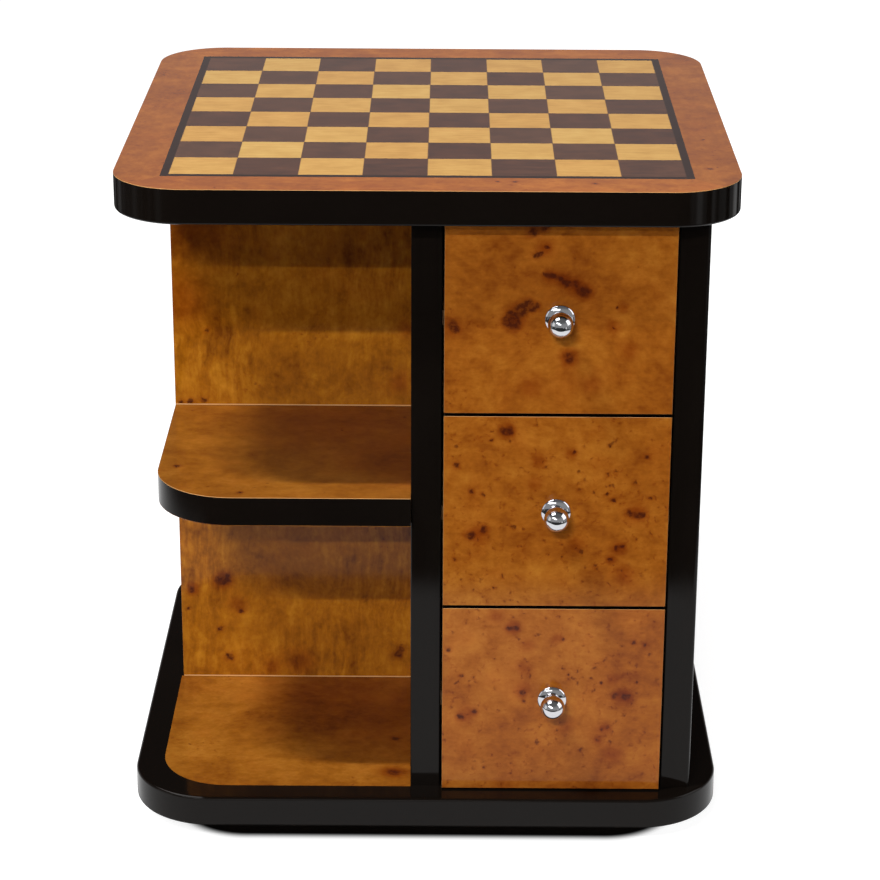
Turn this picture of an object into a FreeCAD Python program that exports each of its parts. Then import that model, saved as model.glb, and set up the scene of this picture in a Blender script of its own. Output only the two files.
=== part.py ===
import FreeCAD, Part
import math
import os
import re

import Sketcher

# A square chess table: a top slab with an inlaid 8 x 8 board and a base slab of the same size, joined by a
# body whose panels meet in a cross.  Two opposite quarters of the plan are open shelf bays, the other two are
# cases of three drawers, one opening to the front and one to the rear.  The rear half of the body is the front
# half turned by half a turn about the vertical axis.
#
# Millimetres.  X to the right, Y to the back, Z up.  The origin is on the floor under the centre of the table.

DIMENSIONS = {
    # the two slabs
    "slab_width": (600, "side of the square top and base slabs"),
    "total_height": (700, "floor to playing surface"),
    "top_thickness": (35, "top slab"),
    "base_thickness": (32, "base slab"),
    "top_corner_radius": (70, "plan radius of the top slab's corners"),
    "base_corner_radius": (82, "plan radius of the base slab's corners"),
    "edge_lipping": (6, "thickness of the black strip glued round slabs and shelves"),
    "slab_arris": (3, "rounding of the slabs' lacquered edges"),
    "veneer": (0.6, "thickness of every veneer sheet"),
    # the board
    "square_size": (61.5, "side of one square of the board"),
    "stringing_width": (7.75, "dark line round the squares"),
    # the plinth
    "plinth_height": (31, "floor to underside of the base slab"),
    "plinth_recess": (40, "plinth set back from the base slab's edge"),
    "plinth_corner_radius": (76, "plan radius of the plinth's corners"),
    "plinth_thickness": (20, "thickness of the plinth rails"),
    "glide_height": (2, "floor glides under the plinth"),
    "glide_radius": (9, "radius of a floor glide"),
    # the body
    "body_width": (540, "outside width and depth of the body"),
    "panel_thickness": (30, "wall, dividers and side panels, veneers included"),
    "upright_lipping": (10, "depth of the black strips on the panels' free edges"),
    "upright_arris": (1.5, "rounding of the panels' front edges"),
    "upright_corner": (4, "rounding of the body's outer vertical edges"),
    "base_margin": (28, "black margin of the base slab round its veneer inlay"),
    "inlay_corner_radius": (68, "outer corner of the base slab's veneer inlay"),
    # the shelves
    "shelf_underside": (353, "floor to underside of a shelf"),
    "shelf_thickness": (30, "veneers included"),
    "shelf_proud": (10, "shelf edge in front of the panels' free edges"),
    "shelf_corner_radius": (78, "outer corner of a shelf"),
    # the drawers
    "drawer_pitch": (203.5, "space of a lower or middle drawer; the upper one has what is left"),
    "drawer_proud": (8, "drawer face in front of the panels' free edges"),
    "drawer_gap": (3.5, "gap between two drawer faces"),
    "drawer_side_gap": (2, "gap beside a drawer face"),
    "face_thickness": (20, "drawer face, veneer included"),
    "drawer_wall": (12, "thickness of a drawer's sides and back"),
    "drawer_wall_height": (150, "height of a drawer's sides"),
    "drawer_wall_lift": (14, "drawer sides above the bottom of their space"),
    "drawer_back_gap": (10, "free space behind a drawer"),
    "bottom_thickness": (6, "drawer bottom"),
    "bottom_lift": (10, "drawer bottom above the lower edge of the sides"),
    "bottom_groove": (5, "depth of the groove that holds the drawer bottom"),
    "fit_gap": (0.3, "clearance round a sliding piece"),
    "glue_gap": (0.1, "clearance round a glued or screwed piece in its hole or groove"),
    # the runners
    "runner_lift": (89, "middle of a runner above the bottom of its drawer's space"),
    "runner_height": (15.4, "height of a runner"),
    "runner_groove": (6, "depth of the groove in a drawer side"),
    "runner_start": (22, "front end of a runner behind the panels' free edges"),
    # the knobs
    "knob_radius": (12.3, "ball of a knob"),
    "knob_reach": (17.5, "centre of the ball in front of the drawer face"),
    "rosette_radius": (14.8, "domed plate behind the ball, at the drawer face"),
    "rosette_height": (5, "rise of that dome"),
    "neck_radius": (5, "neck between dome and ball"),
    "neck_seat": (1, "depth at which the neck sits in the dome"),
    "knob_screw_radius": (2, "machine screw that holds the knob"),
    "knob_screw_head": (4, "radius of that screw's head"),
    "knob_screw_head_height": (2.6, "height of that screw's head"),
    "knob_screw_length": (34, "length of that screw under the head"),
    # dowels and wood screws
    "dowel_radius": (4, "beech dowel"),
    "dowel_depth": (14, "depth of a dowel in each of its two boards"),
    "long_screw_radius": (2.2, "screws up through the base"),
    "long_screw_head": (4.6, "head radius of those screws"),
    "long_screw_length": (50, "length of those screws"),
    "short_screw_radius": (1.7, "screws through the runners"),
    "short_screw_head": (3.6, "head radius of those screws"),
    "short_screw_length": (24, "length of those screws"),
    "plinth_counterbore": (8, "depth at which a screw head sits in a plinth rail"),
}

# Lengths that follow from the driving dimensions, as formulas for the document's expressions.
SLAB_HALF = "(slab_width / 2)"
TOP_UNDERSIDE = "(total_height - top_thickness)"
BASE_TOP = "(plinth_height + base_thickness)"
CASE_HEIGHT = f"({TOP_UNDERSIDE} - {BASE_TOP})"
BODY_HALF = "(body_width / 2)"
PANEL_HALF = "(panel_thickness / 2)"
CORE_THICKNESS = "(panel_thickness - 2 * veneer)"
PANEL_FRONT = f"(upright_lipping - {BODY_HALF})"
PANEL_DEPTH = f"(-{PANEL_HALF} - {PANEL_FRONT})"
BOARD_HALF = "(4 * square_size + stringing_width)"
SIDE_LEFT = f"({BODY_HALF} - panel_thickness)"
SHELF_WIDTH = f"({BODY_HALF} - {PANEL_HALF})"
SHELF_FRONT = f"(-{BODY_HALF} - shelf_proud)"
SHELF_DEPTH = f"(-{PANEL_HALF} - {SHELF_FRONT})"
SHELF_CORE_BOTTOM = "(shelf_underside + veneer)"
SHELF_CORE_THICKNESS = "(shelf_thickness - 2 * veneer)"
FACE_LEFT = f"({PANEL_HALF} + drawer_side_gap)"
FACE_RIGHT = f"({SIDE_LEFT} - drawer_side_gap)"
FACE_WIDTH = f"({FACE_RIGHT} - {FACE_LEFT})"
FACE_FRONT = f"(-{BODY_HALF} - drawer_proud)"
KNOB_X = f"(({FACE_LEFT} + {FACE_RIGHT}) / 2)"
BOX_FRONT = f"({FACE_FRONT} + face_thickness)"
BOX_DEPTH = f"(-{PANEL_HALF} - drawer_back_gap - {BOX_FRONT})"
RUNNER_FRONT = f"(runner_start - {BODY_HALF})"
RUNNER_DEPTH = f"(-{PANEL_HALF} - {RUNNER_FRONT})"
RUNNER_THICKNESS = "(drawer_side_gap + runner_groove - fit_gap)"
RUNNER_Z = f"({BASE_TOP} + runner_lift)"

# Dowels and screws stand at these shares of the length of the panel, wall, shelf, rail or runner.
PANEL_DOWELS = (0.15, 0.5, 0.85)
PANEL_SCREWS = (0.325, 0.675)
WALL_DOWELS = (-0.42, -0.27, -0.12, 0.12, 0.27, 0.42)
WALL_SCREWS = (-0.345, -0.195, 0.195, 0.345)
SHELF_DOWELS = (0.3, 0.75)
RAIL_SCREWS = (-0.2, 0.2)
RUNNER_SCREWS = (0.15, 0.85)

STOREYS = ("lower", "middle", "upper")
QUARTER_TURN = 90
HALF_TURN = 180
ENDS = (("front", 0), ("rear", HALF_TURN))
QUARTER_TURNS = (0, 90, 180, 270)
MITRE = 45
SQUARES_PER_SIDE = 8
ON_SURFACE = 0.001

UP = FreeCAD.Vector(0, 0, 1)
LEFT = FreeCAD.Vector(-1, 0, 0)
RIGHT = FreeCAD.Vector(1, 0, 0)
FRONT = FreeCAD.Vector(0, -1, 0)
BACK = FreeCAD.Vector(0, 1, 0)

ALIAS = re.compile(r"\b(" + "|".join(DIMENSIONS) + r")\b")

doc = FreeCAD.newDocument("ChessTable")
nodes = []


# ------------------------------------------------------------------------------ the document

def make_sheet():
    """The driving dimensions, one row each: name, number, what it is."""
    sheet = doc.addObject("Spreadsheet::Sheet", "Sizes")
    for row, (alias, (number, note)) in enumerate(DIMENSIONS.items(), start=1):
        sheet.set(f"A{row}", alias)
        sheet.set(f"B{row}", str(number))
        sheet.set(f"C{row}", note)
        sheet.setAlias(f"B{row}", alias)
    doc.recompute()


def formula(text):
    """Turns the names of driving dimensions into references to the sheet."""
    return ALIAS.sub(r"Sizes.\1", str(text))


def value(text):
    """The present value of a formula, in millimetres."""
    return float(doc.getObject("Sizes").evalExpression(formula(text)))


def size(thing, **formulas):
    """Binds properties of an object to formulas."""
    for name, text in formulas.items():
        thing.setExpression(name, formula(text))


def place(thing, x=0, y=0, z=0, rotation=FreeCAD.Rotation()):
    """Stands an object at (x, y, z), given as formulas."""
    thing.Placement = FreeCAD.Placement(FreeCAD.Vector(), rotation)
    for axis, text in zip("xyz", (x, y, z)):
        thing.setExpression(f"Placement.Base.{axis}", formula(text))
    return thing


def group(name, things):
    """Separate solids kept together under one name."""
    thing = doc.addObject("Part::Compound", name)
    thing.Links = list(things)
    return thing


def copy(name, source, degrees=0, x=0, y=0, z=0):
    """The source once more, turned about the table's vertical axis and moved."""
    return place(group(name, [source]), x, y, z, FreeCAD.Rotation(UP, degrees))


def on_storeys(name, lowest):
    """Something of the lowest drawer's space, in all three spaces."""
    return [
        copy(f"{name}_{storey}", lowest, z=f"{level} * drawer_pitch") for level, storey in enumerate(STOREYS)
    ]


def both_ends(name, things):
    """The things of the front half and the same things of the rear half."""
    front = group(f"{name}_of_front", things)
    return group(name, [front, copy(f"{name}_of_rear", front, HALF_TURN)])


def combine(kind, name, base, tool):
    """A Part::Cut or Part::Common of two objects."""
    thing = doc.addObject(kind, name)
    thing.Base = base
    thing.Tool = tool
    return thing


def cut(name, base, tool):
    return combine("Part::Cut", name, base, tool)


def node(label, thing):
    """Marks an object as a finished piece of the table, under the name that its file gets."""
    thing.Label = label
    nodes.append(thing)
    return thing


# ------------------------------------------------------------------------------ building blocks

def board(name, length, width, height, x, y, z):
    """A rectangular board with its low corner at (x, y, z)."""
    thing = doc.addObject("Part::Box", name)
    size(thing, Length=length, Width=width, Height=height)
    return place(thing, x, y, z)


def rod(name, radius, length, x, y, z, direction=UP):
    """A cylinder that starts at (x, y, z) and runs in one direction."""
    thing = doc.addObject("Part::Cylinder", name)
    size(thing, Radius=radius, Height=length)
    return place(thing, x, y, z, FreeCAD.Rotation(UP, direction))


def cone(name, start_radius, end_radius, length, x, y, z, direction=UP):
    """A cone frustum that starts at (x, y, z) and runs in one direction."""
    thing = doc.addObject("Part::Cone", name)
    size(thing, Radius1=start_radius, Radius2=end_radius, Height=length)
    return place(thing, x, y, z, FreeCAD.Rotation(UP, direction))


def driven(sketch, constraint, text):
    """Adds a dimension whose value follows a formula."""
    index = sketch.addConstraint(constraint)
    sketch.setExpression(f"Constraints[{index}]", formula(text))


def corner_arc(sketch, before, after, begin, centre, finish, radius):
    """An arc tangent to two neighbouring sides of an outline."""
    circle = Part.Circle(centre, UP, value(radius))
    first, last = circle.parameter(begin), circle.parameter(finish)
    arc = sketch.addGeometry(Part.ArcOfCircle(circle, first, last))
    sketch.addConstraint(Sketcher.Constraint("Tangent", before, 2, arc, 1))
    sketch.addConstraint(Sketcher.Constraint("Tangent", arc, 2, after, 1))
    driven(sketch, Sketcher.Constraint("Radius", arc, value(radius)), radius)


def outline(body, role, width, depth, radii=(0, 0, 0, 0), start=0):
    """A rectangle with its low corner at (start, 0) on one of the body's origin planes.

    The radii round its corners: near left, near right, far right, far left.
    """
    sketch = body.newObject("Sketcher::SketchObject", f"{body.Name}_outline")
    plane = next(f for f in body.Origin.OriginFeatures if f.Role == role)
    sketch.AttachmentSupport = (plane, [""])
    sketch.MapMode = "FlatFace"
    left, far = value(start), value(depth)
    right = left + value(width)
    corners = [FreeCAD.Vector(x, y, 0) for x, y in ((left, 0), (right, 0), (right, far), (left, far))]
    along = [RIGHT, BACK, LEFT, FRONT]
    rounds = [value(radius) for radius in radii]
    for side in range(4):
        begin = corners[side] + along[side] * rounds[side]
        finish = corners[(side + 1) % 4] - along[side] * rounds[(side + 1) % 4]
        sketch.addGeometry(Part.LineSegment(begin, finish))
        kind = "Vertical" if side % 2 else "Horizontal"
        sketch.addConstraint(Sketcher.Constraint(kind, side))
    for side in range(4):
        before = (side - 1) % 4
        if rounds[side]:
            begin = corners[side] - along[before] * rounds[side]
            finish = corners[side] + along[side] * rounds[side]
            centre = begin + along[side] * rounds[side]
            corner_arc(sketch, before, side, begin, centre, finish, radii[side])
        else:
            sketch.addConstraint(Sketcher.Constraint("Coincident", before, 2, side, 1))
    sketch.addConstraint(Sketcher.Constraint("PointOnObject", 0, 1, -1))
    if left:
        driven(sketch, Sketcher.Constraint("DistanceX", -1, 1, 3, 1, left), start)
    else:
        sketch.addConstraint(Sketcher.Constraint("PointOnObject", 3, 1, -2))
    driven(sketch, Sketcher.Constraint("DistanceX", 3, 1, 1, 1, right - left), width)
    driven(sketch, Sketcher.Constraint("DistanceY", 0, 1, 2, 1, far), depth)
    return sketch


def plate(name, width, depth, thickness, radii, x, y, z):
    """A flat plate with rounded plan corners and its low corner at (x, y, z)."""
    body = doc.addObject("PartDesign::Body", name)
    pad = body.newObject("PartDesign::Pad", f"{name}_pad")
    pad.Profile = outline(body, "XY_Plane", width, depth, radii)
    size(pad, Length=thickness)
    return place(body, x, y, z)


def square_plate(name, width, radius, thickness, z):
    """A square plate centred on the table's axis, with four equal corners."""
    return plate(name, width, width, thickness, (radius,) * 4, f"-{width} / 2", f"-{width} / 2", z)


def bend(name, radius, thickness, height, x, y, z=0, degrees=0):
    """A quarter ring about the vertical line at (x, y), from +X round to +Y before it is turned."""
    body = doc.addObject("PartDesign::Body", name)
    sketch = outline(body, "XZ_Plane", thickness, height, start=f"({radius} - {thickness})")
    ring = body.newObject("PartDesign::Revolution", f"{name}_ring")
    ring.Profile = sketch
    ring.ReferenceAxis = (sketch, ["V_Axis"])
    ring.Angle = QUARTER_TURN
    return place(body, x, y, z, FreeCAD.Rotation(UP, degrees))


def ease(body, level, radius, outside):
    """Rounds a body's arris at one level, on the side that the outside function accepts."""
    doc.recompute()
    solid = body.Tip
    names = []
    for number, edge in enumerate(solid.Shape.Edges, start=1):
        middle = edge.valueAt((edge.FirstParameter + edge.LastParameter) / 2)
        heights = (edge.BoundBox.ZMin, edge.BoundBox.ZMax)
        if all(abs(height - value(level)) < ON_SURFACE for height in heights) and outside(middle):
            names.append(f"Edge{number}")
    fillet = body.newObject("PartDesign::Fillet", f"{body.Name}_arris")
    fillet.Base = (solid, names)
    size(fillet, Radius=radius)


def edge_band(name, width, radius, thickness, height, z, eased=()):
    """A band round a square slab: four straight lengths and four bent corners, eased at some levels."""
    half = f"({width} / 2 - {radius})"
    length_width = f"(2 * {half})"
    low = f"({width} / 2 - {thickness})"
    length = plate(f"{name}_length", length_width, thickness, height, (0, 0, 0, 0), f"-{half}", low, 0)
    corner = bend(f"{name}_corner", radius, thickness, height, half, half)
    length_face = value(thickness) - ON_SURFACE
    corner_face = value(radius) - ON_SURFACE
    for level in eased:
        ease(length, level, "slab_arris", lambda point: point.y > length_face)
        ease(corner, level, "slab_arris", lambda point: math.hypot(point.x, point.y) > corner_face)
    pieces = []
    for turn in QUARTER_TURNS:
        pieces.append(copy(f"{name}_length_{turn}", length, turn))
        pieces.append(copy(f"{name}_corner_{turn}", corner, turn))
    return place(group(name, pieces), z=z)


def wood_screw(name, head, radius, length, gap=0):
    """A countersunk wood screw that points up from its head at the origin; a gap makes its hole."""
    head_radius = f"({head} + {gap})"
    shank_radius = f"({radius} + {gap})"
    countersink = f"({head} - {radius})"
    point = f"(2 * {radius})"
    shank = f"({length} - {countersink} - {point} + {gap})"
    parts = [
        cone(f"{name}_head", head_radius, shank_radius, countersink, 0, 0, 0),
        rod(f"{name}_shank", shank_radius, shank, 0, 0, countersink),
        cone(f"{name}_point", shank_radius, 0, point, 0, 0, f"{countersink} + {shank}"),
    ]
    thing = doc.addObject("Part::MultiFuse", name)
    thing.Shapes = parts
    return thing


# ------------------------------------------------------------------------------ fasteners and their holes

def dowel_sites():
    """Start point and direction of every dowel of the front half: formulas and a vector."""
    sites = []
    for level in (TOP_UNDERSIDE, BASE_TOP):
        low = f"({level} - dowel_depth)"
        for share in PANEL_DOWELS:
            y = f"({PANEL_FRONT} + {share} * {PANEL_DEPTH})"
            sites.append((0, y, low, UP))
            sites.append((f"({BODY_HALF} - {PANEL_HALF})", y, low, UP))
        for share in WALL_DOWELS[: len(WALL_DOWELS) // 2]:
            sites.append((f"({share} * body_width)", 0, low, UP))
    middle = "(shelf_underside + shelf_thickness / 2)"
    for share in SHELF_DOWELS:
        x = f"(-{BODY_HALF} + {share} * {SHELF_WIDTH})"
        y = f"({SHELF_FRONT} + {share} * {SHELF_DEPTH})"
        sites.append((x, f"(-{PANEL_HALF} - dowel_depth)", middle, BACK))
        sites.append((f"(-{PANEL_HALF} - dowel_depth)", y, middle, RIGHT))
    return sites


def dowels(name, gap=0):
    """All dowels of the table, or with a gap their holes."""
    radius = f"(dowel_radius + {gap})"
    length = "(2 * dowel_depth)"
    rods = []
    for i, (x, y, z, direction) in enumerate(dowel_sites()):
        rods.append(rod(f"{name}{i}", radius, length, x, y, z, direction))
    return both_ends(name, rods)


def base_screw_sites():
    """Where the screws of the front half stand under the base slab, and how deep their heads sit."""
    sites = []
    for share in PANEL_SCREWS:
        y = f"({PANEL_FRONT} + {share} * {PANEL_DEPTH})"
        sites.append((0, y, "plinth_height"))
        sites.append((f"({BODY_HALF} - {PANEL_HALF})", y, "plinth_height"))
    for share in WALL_SCREWS[: len(WALL_SCREWS) // 2]:
        sites.append((f"({share} * body_width)", 0, "plinth_height"))
    rail = f"({SLAB_HALF} - plinth_recess - plinth_thickness / 2)"
    for share in RAIL_SCREWS:
        along = f"({share} * slab_width)"
        sites.append((along, f"-{rail}", "glide_height + plinth_counterbore"))
        sites.append((rail, along, "glide_height + plinth_counterbore"))
    return sites


def base_screws(name, gap=0):
    """The screws that hold the base slab to the panels and the plinth to the base slab, or their holes."""
    screw = wood_screw(f"{name}_one", "long_screw_head", "long_screw_radius", "long_screw_length", gap)
    screws = []
    for i, (x, y, z) in enumerate(base_screw_sites()):
        screws.append(copy(f"{name}{i}", screw, 0, x, y, z))
        if gap and "glide" in z:
            bore = f"(long_screw_head + {gap})"
            screws.append(rod(f"{name}{i}_counterbore", bore, "plinth_counterbore", x, y, "glide_height"))
    return both_ends(name, screws)


def runner_screws(name, gap=0):
    """The screws of all runners, from the runner's face into the panel beside it, or their holes."""
    screw = wood_screw(f"{name}_one", "short_screw_head", "short_screw_radius", "short_screw_length", gap)
    pairs = []
    for i, share in enumerate(RUNNER_SCREWS):
        y = f"({RUNNER_FRONT} + {share} * {RUNNER_DEPTH})"
        by_divider = (f"({PANEL_HALF} + {RUNNER_THICKNESS})", LEFT)
        by_side = (f"({SIDE_LEFT} - {RUNNER_THICKNESS})", RIGHT)
        for side, (x, direction) in enumerate((by_divider, by_side)):
            placed = group(f"{name}{i}_{side}", [screw])
            pairs.append(place(placed, x, y, RUNNER_Z, FreeCAD.Rotation(UP, direction)))
    lowest = group(f"{name}_lowest", pairs)
    return both_ends(name, on_storeys(name, lowest))


# ------------------------------------------------------------------------------ top slab

def build_top(holes):
    """Core, black edge and the inlaid board: mitred border, dark line, light and dark squares."""
    core_thickness = "(top_thickness - veneer)"
    core = square_plate(
        "top_board", "(slab_width - 2 * edge_lipping)", "(top_corner_radius - edge_lipping)",
        core_thickness, TOP_UNDERSIDE,
    )
    node("top_core", cut("top_core", core, holes))
    band = edge_band(
        "top_band", "slab_width", "top_corner_radius", "edge_lipping", core_thickness, TOP_UNDERSIDE,
        eased=(0,),
    )
    node("top_edge_lipping", band)

    surface = "(total_height - veneer)"
    sheet = square_plate("top_sheet", "slab_width", "top_corner_radius", "veneer", surface)
    field = board(
        "board_field", f"(2 * {BOARD_HALF})", f"(2 * {BOARD_HALF})", "veneer",
        f"-{BOARD_HALF}", f"-{BOARD_HALF}", surface,
    )
    border = cut("border_sheet", sheet, field)
    strips = []
    for turn in QUARTER_TURNS:
        # a square standing on its corner at the centre leaves one side of the border, mitred at both ends
        quarter = board(f"mitre_{turn}", "slab_width", "slab_width", "veneer", 0, 0, surface)
        quarter.Placement.Rotation = FreeCAD.Rotation(UP, turn + MITRE)
        strips.append(combine("Part::Common", f"border_{turn}", border, quarter))
    node("top_border_veneer", group("border_strips", strips))

    half_field = "(4 * square_size)"
    long_strip = board(
        "string_long", f"(2 * {BOARD_HALF})", "stringing_width", "veneer",
        f"-{BOARD_HALF}", f"-{BOARD_HALF}", surface,
    )
    short_strip = board(
        "string_short", "stringing_width", f"(2 * {half_field})", "veneer",
        half_field, f"-{half_field}", surface,
    )
    node("board_stringing", both_ends("string_strips", [long_strip, short_strip]))

    squares = {"light": [], "dark": []}
    for column in range(SQUARES_PER_SIDE):
        for rank in range(SQUARES_PER_SIDE):
            tone = "dark" if (column + rank) % 2 else "light"
            x = f"({column} * square_size - {half_field})"
            y = f"({rank} * square_size - {half_field})"
            name = f"{tone}_{column}_{rank}"
            squares[tone].append(board(name, "square_size", "square_size", "veneer", x, y, surface))
    for tone, boards in squares.items():
        node(f"{tone}_squares", group(f"{tone}_field", boards))


# ------------------------------------------------------------------------------ base slab and plinth

def build_base(holes):
    """Base slab with its two veneered quarters, and the plinth on its glides."""
    core = square_plate(
        "base_board", "(slab_width - 2 * edge_lipping)", "(base_corner_radius - edge_lipping)",
        "base_thickness", "plinth_height",
    )
    low = f"(base_margin - {SLAB_HALF})"
    side = f"(-{PANEL_HALF} - {low})"
    inlay = plate(
        "inlay", side, side, "veneer", ("inlay_corner_radius", 0, 0, 0), low, low, f"({BASE_TOP} - veneer)",
    )
    inlays = both_ends("inlays", [inlay])
    node("base_core", cut("base_core", cut("base_recessed", core, inlays), holes))
    node("base_inlay_veneers", inlays)
    band = edge_band(
        "base_band", "slab_width", "base_corner_radius", "edge_lipping", "base_thickness", "plinth_height",
        eased=(0, "base_thickness"),
    )
    node("base_edge_lipping", band)

    plinth = edge_band(
        "plinth", "(slab_width - 2 * plinth_recess)", "plinth_corner_radius", "plinth_thickness",
        "(plinth_height - glide_height)", "glide_height",
    )
    node("plinth_frame", cut("plinth_bored", plinth, holes))
    reach = (
        f"({SLAB_HALF} - plinth_recess - plinth_corner_radius"
        " + (plinth_corner_radius - plinth_thickness / 2) / sqrt(2))"
    )
    glide = rod("glide", "glide_radius", "glide_height", reach, reach, 0)
    node("floor_glides", group("glides", [copy(f"glide_{turn}", glide, turn) for turn in QUARTER_TURNS]))


# ------------------------------------------------------------------------------ wall, dividers, side panels

def upright_lipping(name, width, corner_radius, x):
    """A black strip on the free edge of an upright panel, from base to top."""
    radii = ("upright_arris", corner_radius, 0, 0)
    return plate(name, width, "upright_lipping", CASE_HEIGHT, radii, x, f"-{BODY_HALF}", BASE_TOP)


def veneer_sheet(name, depth, x):
    """A sheet on one side of an upright panel of the front half."""
    return board(name, "veneer", depth, CASE_HEIGHT, x, PANEL_FRONT, BASE_TOP)


def build_panels(holes):
    """The cross wall over the full width, and a divider and a side panel at each end."""
    wall = board(
        "wall_board", "(body_width - 2 * veneer)", CORE_THICKNESS, CASE_HEIGHT,
        f"(veneer - {BODY_HALF})", f"(veneer - {PANEL_HALF})", BASE_TOP,
    )
    node("cross_wall", cut("cross_wall", wall, holes))
    # at its far end the sheet stops behind the outer sheet of the side panel
    wall_sheet = board(
        "wall_sheet", "(body_width - veneer)", "veneer", CASE_HEIGHT,
        f"-{BODY_HALF}", f"-{PANEL_HALF}", BASE_TOP,
    )
    node("wall_veneers", cut("wall_sheets_bored", both_ends("wall_sheets", [wall_sheet]), holes))

    divider = board(
        "divider_board", CORE_THICKNESS, PANEL_DEPTH, CASE_HEIGHT,
        f"(veneer - {PANEL_HALF})", PANEL_FRONT, BASE_TOP,
    )
    side = board(
        "side_board", CORE_THICKNESS, PANEL_DEPTH, CASE_HEIGHT,
        f"({SIDE_LEFT} + veneer)", PANEL_FRONT, BASE_TOP,
    )
    # the table's holes are the same after half a turn, so a rear panel is a front panel turned
    front_divider = cut("divider_bored", divider, holes)
    right_side = cut("side_bored", side, holes)
    node("front_divider", front_divider)
    node("rear_divider", copy("rear_divider", front_divider, HALF_TURN))
    node("right_side_panel", right_side)
    node("left_side_panel", copy("left_side_panel", right_side, HALF_TURN))

    divider_sheets = [
        veneer_sheet("divider_sheet_bay", PANEL_DEPTH, f"-{PANEL_HALF}"),
        veneer_sheet("divider_sheet_case", PANEL_DEPTH, f"({PANEL_HALF} - veneer)"),
    ]
    node("divider_veneers", cut("divider_sheets_bored", both_ends("divider_sheets", divider_sheets), holes))
    # the outer sheet runs on over the end of the cross wall
    outer_depth = f"({PANEL_DEPTH} + panel_thickness - veneer)"
    side_sheets = [
        veneer_sheet("side_sheet_outside", outer_depth, f"({BODY_HALF} - veneer)"),
        veneer_sheet("side_sheet_case", PANEL_DEPTH, SIDE_LEFT),
    ]
    node("side_veneers", cut("side_sheets_bored", both_ends("side_sheets", side_sheets), holes))

    lippings = [
        upright_lipping("divider_lipping", "panel_thickness", "upright_arris", f"-{PANEL_HALF}"),
        upright_lipping("side_lipping", "panel_thickness", "upright_corner", SIDE_LEFT),
    ]
    node("upright_lippings", both_ends("lippings", lippings))


# ------------------------------------------------------------------------------ shelves

def build_shelves(holes):
    """One shelf in each open bay: core, black edging round its free sides, veneer above and below."""
    corner = "shelf_corner_radius"
    core = plate(
        "shelf_board", f"({SHELF_WIDTH} - edge_lipping)", f"({SHELF_DEPTH} - edge_lipping)",
        SHELF_CORE_THICKNESS, (f"({corner} - edge_lipping)", 0, 0, 0),
        f"(edge_lipping - {BODY_HALF})", f"({SHELF_FRONT} + edge_lipping)", SHELF_CORE_BOTTOM,
    )
    centre_x = f"({corner} - {BODY_HALF})"
    centre_y = f"({SHELF_FRONT} + {corner})"
    edging = [
        board(
            "shelf_edge_side", "edge_lipping", f"({SHELF_DEPTH} - {corner})", SHELF_CORE_THICKNESS,
            f"-{BODY_HALF}", centre_y, SHELF_CORE_BOTTOM,
        ),
        bend(
            "shelf_edge_corner", corner, "edge_lipping", SHELF_CORE_THICKNESS,
            centre_x, centre_y, SHELF_CORE_BOTTOM, HALF_TURN,
        ),
        board(
            "shelf_edge_front", f"({SHELF_WIDTH} - {corner})", "edge_lipping", SHELF_CORE_THICKNESS,
            centre_x, SHELF_FRONT, SHELF_CORE_BOTTOM,
        ),
    ]
    sheets = []
    levels = {"below": "shelf_underside", "above": f"({SHELF_CORE_BOTTOM} + {SHELF_CORE_THICKNESS})"}
    for where, level in levels.items():
        sheets.append(plate(
            f"shelf_sheet_{where}", SHELF_WIDTH, SHELF_DEPTH, "veneer", (corner, 0, 0, 0),
            f"-{BODY_HALF}", SHELF_FRONT, level,
        ))
    pieces = {
        "core": cut("shelf_bored", core, holes),
        "edging": group("shelf_edges", edging),
        "veneers": group("shelf_sheets", sheets),
    }
    for end, turn in ENDS:
        for part, thing in pieces.items():
            node(f"{end}_shelf_{part}", copy(f"{end}_shelf_{part}", thing, turn))


# ------------------------------------------------------------------------------ drawers and runners

def build_runners(screw_holes):
    """Two battens for each drawer, screwed to the panels of its case."""
    battens = []
    low = f"({RUNNER_Z} - runner_height / 2)"
    for side, x in (("divider", PANEL_HALF), ("panel", f"({SIDE_LEFT} - {RUNNER_THICKNESS})")):
        batten = board(
            f"batten_{side}", RUNNER_THICKNESS, RUNNER_DEPTH, "runner_height", x, RUNNER_FRONT, low,
        )
        battens.append(batten)
    battens = both_ends("runners", on_storeys("battens", group("battens", battens)))
    node("drawer_runners", cut("runners_bored", battens, screw_holes))


def storey_space(level):
    """Where the space of a drawer begins, and how high it is."""
    low = f"({BASE_TOP} + {level} * drawer_pitch)"
    if level < len(STOREYS) - 1:
        return low, "drawer_pitch"
    return low, f"({TOP_UNDERSIDE} - {low})"


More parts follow.
